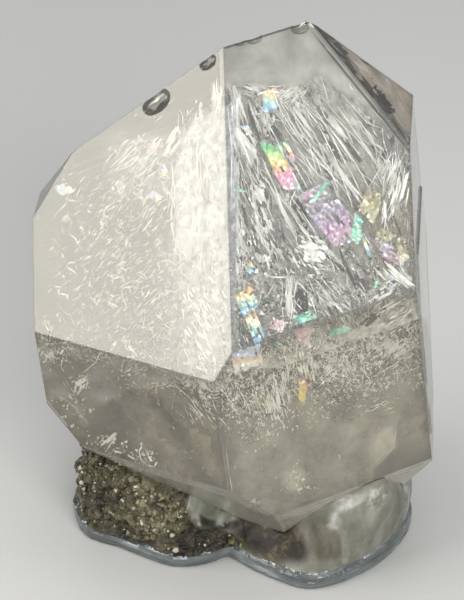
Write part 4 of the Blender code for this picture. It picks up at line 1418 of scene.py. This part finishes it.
def front_streaks(white, gloss, dark, grey):
    """Drawn-out fractures under the front face: long flat cracks, slivers between them, crumbs below."""
    def shard_kept(px, py):
        return front_zone(px, py) >= 8

    for px, py in drawn_pixels(SHARD_COUNT, SHARD_BOX, ("t60",), shard_kept):
        low = window("shards_short", px, py)
        length = dice.choice((14, 20, 30, 42, 60)) * (1 - 0.62 * low)
        angle = fracture_angle(px, py) + dice.gauss(0, 4 + 35 * low)
        if on_flake(px, py):
            continue
        mesh = dice.choice((gloss, grey, grey, white, white, dark))
        slender = 0.35 if mesh is white else 1 if mesh is grey else 0.6
        width = dice.uniform(2.5, 9) * (1 - 0.3 * low) * slender
        depth = dice.uniform(0.5, 2.2)
        dip = dice.uniform(-0.8, 0.8)
        shard(mesh, white, px, py, angle, length, width, depth, dip, dice.gauss(0, 0.45))

    def sliver_kept(px, py):
        crowd = 0.35 + 1.4 * wave(px, py, 8, 17, 30) + 0.45 * window("slivers_left", px, py)
        crowd += 0.35 * window("shards_short", px, py)
        return dice.random() <= crowd * between(front_zone(px, py), 0, 14)

    for px, py in drawn_pixels(SLIVER_COUNT, SLIVER_BOX, ("t60",), sliver_kept):
        low = window("slivers_short", px, py)
        if on_flake(px, py):
            continue
        angle = fracture_angle(px, py) + dice.gauss(0, 5 + 50 * low)
        length = dice.choice((3, 5, 8, 14, 24, 36, 50)) * (1 - 0.72 * low)
        mesh = white if dice.random() < 0.78 else dark
        width = dice.choice((0.5, 0.7, 0.9, 1.2)) if mesh is white else dice.uniform(0.6, 2.2)
        depth = dice.uniform(0.6, 1.8) if mesh is white else dice.uniform(0.7, 3)
        streak(mesh, px, py, angle, length, width, depth, 16, dice.gauss(0, 0.07) * length)

    def crumb_kept(px, py):
        crowd = window("crumbs_low", px, py) * (0.5 + wave(px, py, 18, 14))
        return dice.random() <= crowd + 0.3 * window("crumbs_left", px, py)

    for px, py in drawn_pixels(FRONT_CRUMB_COUNT, FRONT_CRUMB_BOX, ("t60",), crumb_kept):
        mesh = dice.choice((white, white, gloss, grey, dark))
        crumb(mesh, px, py, dice.choice((1.5, 2.2, 3.2, 4.5, 7)), dice.uniform(0.2, 1.4))
    left, top, right, bottom = FRONT_DUST_BOX
    for _ in range(FRONT_DUST_COUNT):
        px = dice.uniform(left, right)
        py = dice.uniform(top, bottom)
        if front_zone(px, py) > dice.uniform(-4, 14):
            crumb(white, px, py, dice.choice((0.9, 1.2, 1.6, 2.2)), dice.uniform(0.2, 0.7))
    for item in FRONT_BUNDLES:
        bundle(white, *item)
    for item in BRIGHT_BARS:
        leaf(white, *item)
    for item in DARK_WINDOWS:
        leaf(dark, *item)
    for points, width in FRONT_LINES:
        polyline(white, points, width, 0.3)


def lower_crumbs(white, gloss, dark):
    """The cloud of crumbs that thins out downwards in the two front prism faces."""
    def kept(px, py):
        floor = lower_border(px)
        fade = between(py, floor + 8, floor - 30)
        return dice.random() <= fade * (0.6 + 0.9 * wave(px, py, 5, 20))

    for px, py in drawn_pixels(LOWER_CRUMB_COUNT, LOWER_CRUMB_BOX, ("m0", "m60"), kept):
        floor = lower_border(px)
        near_top = between(py, floor - 10, floor - 50)
        if dice.random() < 0.75:
            size = dice.choice((1.0, 1.4, 1.9, 2.6, 3.8)) * (1 + 0.3 * near_top)
            crumb(white if dice.random() < 0.85 else gloss, px, py, size, dice.uniform(0.2, 1.0))
        else:
            length = dice.choice((2, 3, 4, 6)) * (1 + near_top)
            streak(white, px, py, dice.uniform(20, 160), length, dice.uniform(0.4, 1.0),
                   dice.uniform(0.22, 1.5), 20, dice.gauss(0, 0.12) * length)
    for _ in range(DARK_SPECK_COUNT):
        px = dice.gauss(DARK_SPECKS[0], 16)
        py = dice.gauss(DARK_SPECKS[1], 8)
        crumb(dark, px, py, dice.uniform(0.8, 2.8), dice.uniform(0.2, 0.6))
    for item in LOWER_BUNDLES:
        bundle(white, *item)
    for place, size, count in LOWER_PATCHES:
        for _ in range(count):
            px = place[0] + dice.gauss(0, size[0] / 3)
            py = place[1] + dice.gauss(0, size[1] / 3)
            crumb(white, px, py, dice.uniform(1.5, 6), dice.uniform(0.2, 1.2))
    for item in LOWER_FLAKES:
        leaf(white, *item)
    for points, width in LOWER_ARCS:
        polyline(white, points, width, 0.3)
    for points, width in PHANTOM_LINES:
        polyline(white, points, width, 0.5)


def left_streaks(soft, white, dim):
    """Fainter streaks under the left face, which run up to the right in its upper part."""
    def kept(px, py):
        crowd = 0.25 + 0.6 * wave(px, py, 1, 30) + 0.5 * window("left_crowd", px, py)
        return dice.random() <= crowd

    for px, py in drawn_pixels(LEFT_STREAK_COUNT, LEFT_STREAK_BOX, ("t0",), kept):
        rising = dice.random() < window("left_rising", px, py)
        angle = RISING_ANGLE if rising else dice.uniform(0, 180)
        streak(soft, px, py, angle + dice.gauss(0, 8), dice.uniform(3, 13), dice.uniform(0.5, 1.8),
               dice.uniform(0.3, 3), 22, dice.gauss(0, 0.5))
    for item in LEFT_BUNDLES:
        bundle(soft if item[0][0] < SOFT_UP_TO else white, *item)
    for item in LEFT_DARK_STROKES:
        bundle(dim, *item)


def scattered(white, gloss):
    """The inside as a whole, for every side of the crystal."""
    count = 0
    while count < SCATTER_COUNT:
        place = CENTRE + Vector((dice.uniform(-22, 22), dice.uniform(-22, 22), dice.uniform(-24, 32)))
        if outside(place) > -SCATTER_ROOM:
            continue
        upward = 0.04 + 0.96 * between(place.z, 17, 30)
        if dice.random() > (0.5 + 0.9 * noise.noise(place / 7)) * upward:
            continue
        count += 1
        way = Vector((dice.gauss(0, 0.5), dice.gauss(0, 0.5), dice.gauss(0, 1))).normalized()
        reach = dice.choice((0.3, 0.4, 0.6, 0.9, 1.3, 2.0))
        mesh = white if dice.random() < 0.45 else gloss
        ribbon(mesh, (place - way * reach / 2, place + way * reach / 2), dice.uniform(0.08, 0.35),
               way.orthogonal(), dice.uniform(-pi, pi), dice.gauss(0, 0.1) * reach)


def side_marks(dark, olive, white):
    """The band, the black spot and the streaks under the narrow right face, and the lines at the foot."""
    for item in SIDE_LEAVES:
        leaf(olive, *item, 0.1, 0.5)
    for _ in range(SIDE_SPOT_COUNT):
        along = dice.gauss(0, 7)
        px = SIDE_SPOT[0] + 0.55 * along + dice.gauss(0, 1.6)
        py = SIDE_SPOT[1] + 0.8 * along + dice.gauss(0, 1.6)
        crumb(dark, px, py, dice.uniform(3, 7), 0.25)
    for item in SIDE_STREAKS:
        bundle(white, *item)
    for start, end, width in FOOT_LINES:
        polyline(white, (start, end), width, 0.2)


def build_fractures():
    meshes = {name: bmesh.new() for name in FRACTURE_LOOKS}
    white, gloss, dark, olive, soft, dim, grey = meshes.values()
    front_streaks(white, gloss, dark, grey)
    lower_crumbs(white, gloss, dark)
    left_streaks(soft, white, dim)
    scattered(white, gloss)
    side_marks(dark, olive, white)
    for name, look in FRACTURE_LOOKS.items():
        add_piece(f"fractures_{name}", meshes[name], [new_material(f"fracture_{name}", *look)])


# The base

def is_smooth_lobe(point, spots):
    """Whether a point of the base, in millimetres, belongs to its glassy parts, not to the sugary ones."""
    wander = 1.5 * noise.noise(point / 2.2)
    if point.x > LOBE_LEFT + wander and point.y < LOBE_BACK + wander:
        return True
    return any(
        kind in ("green", "rust") and (point - place).length < 0.9 * radius for kind, place, radius in spots
    )


def nearest_face(point):
    """The crystal's face outside which a point lies farthest."""
    return max(NORMALS, key=lambda face: NORMALS[face].dot(point - CENTRE) - FACE_DISTANCE[face])


def crevice(point, size):
    """0 inside a clump, rising to 1 in the crevices between clumps."""
    nearest = noise.voronoi(point / size)[0]
    return 1 - min(1, 2.5 * (nearest[1] - nearest[0]))


def base_place(tree, place):
    """Where the line of sight through a pixel meets the base, in millimetres, and the direction outwards."""
    hit, normal, _, _ = tree.ray_cast(EYE * MM, sight_line(*place))
    return hit / MM, normal


def base_colours(material, spots):
    """Olive stone on the left with painted shade in the crevices between its clumps, pale frosted quartz on
    the right, and the patches between them.
    """
    tones = {
        name: ramp(material, cloud(material, *grain), stops) for name, (grain, stops) in STONE_TONES.items()
    }
    for name, (grain, stops) in DRAWN_TONES.items():
        tones[name] = ramp(material, streaky(material, *grain), stops)
    olive = blend(material, 1.0, tones["fine"], tones["broad"], "MULTIPLY")
    # Painted shade: the crevice mark darkens the olive stone between the clumps.
    mark = wired(material, "ShaderNodeAttribute", "Fac", attribute_name="crevice")
    clumps = blend(material, 1.0, olive, ramp(material, mark, CREVICE_SHADE_TONES), "MULTIPLY")
    across = wired(material, "ShaderNodeSeparateXYZ", "X", {"Vector": axes(material)})
    ragged = maths(material, "MULTIPLY_ADD", cloud(material, 300.0, 5.0, 0.6), 6 * MM, across)
    side = spread(material, ragged, LOBE_FADE[0] * MM, LOBE_FADE[1] * MM)
    colour = blend(material, side, clumps, tones["frost"])
    for kind, place, radius in spots:
        colour = blend(material, near(material, place, radius), colour, tones.get(kind, CRACK_COLOUR))
    feed(shader_of(material), "Base Color", colour)


def toned(material, value, stops):
    feed(shader_of(material), "Base Color", ramp(material, value, stops))


def base_materials(spots):
    """The looks of the base: sugary stone, frosted lobe, clear foot, rusty stain, and the painted highlight
    along the foot's upper edge.
    """
    looks = {}
    for name, (colour, roughness, grain, strength, distance) in STONE_LOOKS.items():
        looks[name] = new_material(f"stone_{name}", colour, roughness)
        base_colours(looks[name], spots)
        ridge(looks[name], cloud(looks[name], *grain), strength, distance)
    glassy(looks["pale"], 0.1)
    foot = new_material("stone_foot", (0.4, 0.43, 0.45), 0.08)
    glassy(foot, 0.35)
    bands = streaky(foot, 170.0, (1.0, 1.0, 7.0), (8, 5, 0), 5.0)
    toned(foot, bands, FOOT_TONES)
    ridge(foot, bands, 0.7, 0.25)
    # Painted highlight along the foot's upper edge.
    lip_highlight = new_material("stone_lip_highlight", (0.40, 0.44, 0.45), 0.15)
    toned(lip_highlight, cloud(lip_highlight, 700.0, 4.0, 0.6), LIP_HIGHLIGHT_TONES)
    return [looks["sugary"], looks["pale"], foot, looks["rusty"], lip_highlight]


def grain_materials():
    spark = new_material("grain_bright", (0.30, 0.285, 0.22), 0.08)
    murky = new_material("grain_olive", (0.13, 0.118, 0.072), 0.14)
    brown = new_material("grain_brown", (0.055, 0.046, 0.026), 0.2)
    for grain in (murky, brown):
        toned(grain, cloud(grain, 150.0, 5.0, 0.6), GRAIN_TONES)
    return [spark, murky, brown]


def grain_point(mesh, place, way, radius, height, index):
    """One tiny quartz point: a five-sided spike with its root in the stone."""
    across = way.orthogonal().normalized()
    spin = dice.uniform(0, 2 * pi)
    foot = []
    for side in range(5):
        reach = across.copy()
        reach.rotate(Matrix.Rotation(spin + 2 * pi * side / 5, 3, way))
        foot.append(place - way * GRAIN_ROOT + reach * radius * dice.uniform(0.75, 1.15))
    shift = (across * dice.uniform(-0.3, 0.3)) * radius
    tip = mesh.verts.new((place + way * height + shift) * MM)
    shoulder = [mesh.verts.new((point + way * (GRAIN_ROOT + height * 0.35)) * MM) for point in foot]
    root = [mesh.verts.new(point * MM) for point in foot]
    for side in range(5):
        after = (side + 1) % 5
        mesh.faces.new((shoulder[side], shoulder[after], tip)).material_index = index
        mesh.faces.new((root[side], root[after], shoulder[after], shoulder[side])).material_index = index


def base_blank():
    """The solid's shape in small even faces, from a copy."""
    blank = bpy.data.objects.new("base_blank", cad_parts["base_stone"].data.copy())
    bpy.context.collection.objects.link(blank)
    voxels = blank.modifiers.new("voxels", "REMESH")
    voxels.mode = "VOXEL"
    voxels.voxel_size = BASE_VOXEL * MM
    return baked(blank)


def base_spots(tree):
    """The patches of the base and the marks along its lines: the kind, the place on it and the radius."""
    lines = [(kind, (x + share * (x2 - x), y + share * (y2 - y)), radius)
             for kind, points, radius in BASE_LINES
             for (x, y), (x2, y2) in zip(points, points[1:]) for share in (0, 0.33, 0.67)]
    return [(kind, base_place(tree, place)[0], radius) for kind, place, radius in (*BASE_SPOTS, *lines)]


def shape_base(mesh, spots):
    """Rounds the smooth lobe and closes the base up to the crystal that it carries."""
    rounded = []
    for vert in mesh.verts:
        point = vert.co / MM
        if is_smooth_lobe(point, spots) and outside(point) > 0.9 and point.z > FOOT_HEIGHT_RIGHT + 0.6:
            rounded.append(vert)
    for _ in range(LOBE_SMOOTHING):
        bmesh.ops.smooth_vert(
            mesh, verts=rounded, factor=0.5, use_axis_x=True, use_axis_y=True, use_axis_z=True
        )
    for vert in mesh.verts:
        point = vert.co / MM
        room = outside(point)
        if 0.05 < room < SEAM_REACH and point.z > FOOT_HEIGHT_RIGHT:
            closing = (room - SEAM_GAP) * between(room, SEAM_REACH, 0.5 * SEAM_REACH)
            vert.co -= NORMALS[nearest_face(point)] * max(0, closing) * MM
    mesh.normal_update()


def roughen_base(mesh, spots):
    """Clumps and crevices in the sugary stone, soft waves in the glassy parts, and the crevices' mark for
    the painted shade.
    """
    moves = []
    crevice_shade_mark = mesh.verts.layers.float.new("crevice")
    for vert in mesh.verts:
        point = vert.co / MM
        wide = crevice(point, 2.0)
        narrow = crevice(point, 0.9)
        smooth = is_smooth_lobe(point, spots)
        # The mark of the painted shade in the crevices; the glassy parts get none.
        vert[crevice_shade_mark] = 0 if smooth else 0.65 * wide + 0.35 * narrow
        room = outside(point)
        if point.z < UNDERSIDE or room < ROUGH_FROM:
            moves.append(0)
            continue
        if point.z < RIM_HEIGHT:
            push = 0.10 * noise.noise(Vector((point.x / 3, point.y / 3, point.z * 3.5)))
        elif smooth:
            push = 0.16 * noise.noise(point / 2.2) + 0.05 * noise.noise(point / 0.7)
        else:
            push = 0.12 + 0.25 * noise.noise(point / 1.5) - 0.38 * wide - 0.16 * narrow
        moves.append(min(push, room - ROUGH_ROOM))
    normals = [vert.normal.copy() for vert in mesh.verts]
    for vert, push, normal in zip(mesh.verts, moves, normals):
        vert.co += normal * push * MM
    mesh.normal_update()


def material_at(point, spots):
    """Which of the base's looks a point has: 0 sugary, 1 pale, 2 foot, 3 rusty, 4 painted highlight on the
    foot's upper edge.
    """
    foot_height = FOOT_HEIGHT_RIGHT if point.x > 0 else FOOT_HEIGHT_LEFT
    if point.z < foot_height:
        # Painted highlight: a broken paler band along the foot's upper edge, at the front only.
        on_lip_highlight = point.z > foot_height - LIP_HIGHLIGHT_WIDTH and point.y < 0 and noise.noise(point / 2.5) > -0.05
        return 4 if on_lip_highlight else 2
    if is_smooth_lobe(point, spots):
        rusted = any(kind == "rust" and (point - place).length < radius for kind, place, radius in spots)
        return 3 if rusted else 1
    return 0


def build_grains(tree, seats, spots):
    """The tiny quartz points that cover the sugary parts of the base."""
    mesh = bmesh.new()
    for place, radius, height in BASE_SPARKLES:
        grain_point(mesh, *base_place(tree, place), radius, height, 0)
    for _ in range(GRAIN_COUNT):
        place, way = dice.choice(seats)
        if any((place - spot).length < 0.8 * radius for _, spot, radius in spots):
            continue
        radius = dice.choice(GRAIN_RADII) * dice.uniform(0.8, 1.2)
        sway = Vector((dice.gauss(0, 0.45), dice.gauss(0, 0.45), dice.gauss(0, 0.45)))
        lean = (way + sway).normalized()
        height = radius * dice.uniform(0.5, 1.3)
        if outside(place + lean * height) < 0.15:
            continue
        kind = dice.random()
        grain_point(mesh, place, lean, radius, height, 0 if kind < 0.015 else 1 if kind < 0.62 else 2)
    add_piece("base_grains", mesh, grain_materials())


def build_base():
    mesh = base_blank()
    tree = BVHTree.FromBMesh(mesh)
    spots = base_spots(tree)
    shape_base(mesh, spots)
    materials = base_materials(spots)
    roughen_base(mesh, spots)
    seats = []
    for item in mesh.faces:
        point = item.calc_center_median() / MM
        item.material_index = material_at(point, spots)
        item.smooth = item.material_index in (1, 3)
        if item.material_index == 0 and outside(point) > 0.7 and point.z > 2.2:
            seats.append((point, item.normal.copy()))
    base = add_piece("base_body", mesh, materials)
    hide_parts("base_stone")
    build_grains(tree, seats, spots)


# Floor, light and camera

def stage():
    mesh = bmesh.new()
    bmesh.ops.create_grid(mesh, x_segments=1, y_segments=1, size=FLOOR_SIZE)
    floor = mesh_object("floor", mesh, [new_material("floor", FLOOR_COLOUR, 0.7)])
    scene = bpy.context.scene
    world = bpy.data.worlds.new("studio")
    world.use_nodes = True
    world.node_tree.nodes["Background"].inputs["Color"].default_value = ROOM_COLOUR
    world.node_tree.nodes["Background"].inputs["Strength"].default_value = ROOM_STRENGTH
    scene.world = world
    middle = CENTRE * MM
    for name, (way, distance, size, power, colour) in SOFTBOXES.items():
        light = bpy.data.lights.new(name, "AREA")
        light.shape = "SQUARE"
        light.size = size
        light.energy = power
        light.color = colour
        box = bpy.data.objects.new(name, light)
        box.location = middle + Vector(way) * distance
        box.rotation_euler = (middle - box.location).to_track_quat("-Z", "Y").to_euler()
        bpy.context.collection.objects.link(box)
    scene.view_settings.view_transform = "Standard"
    scene.cycles.max_bounces = 20
    scene.cycles.transmission_bounces = 20
    scene.cycles.transparent_max_bounces = 24
    scene.cycles.diffuse_bounces = 4
    scene.cycles.glossy_bounces = 6


def camera():
    data = bpy.data.cameras.new("camera")
    data.lens = LENS
    data.sensor_width = SENSOR
    data.clip_start = 0.01
    eye = bpy.data.objects.new("camera", data)
    eye.location = EYE * MM
    eye.rotation_euler = (radians(90 - ELEVATION), 0, 0)
    bpy.context.collection.objects.link(eye)
    bpy.context.scene.camera = eye


camera()
stage()
build_hull()
build_haze()
build_sheets()
build_flakes()
build_fractures()
build_base()
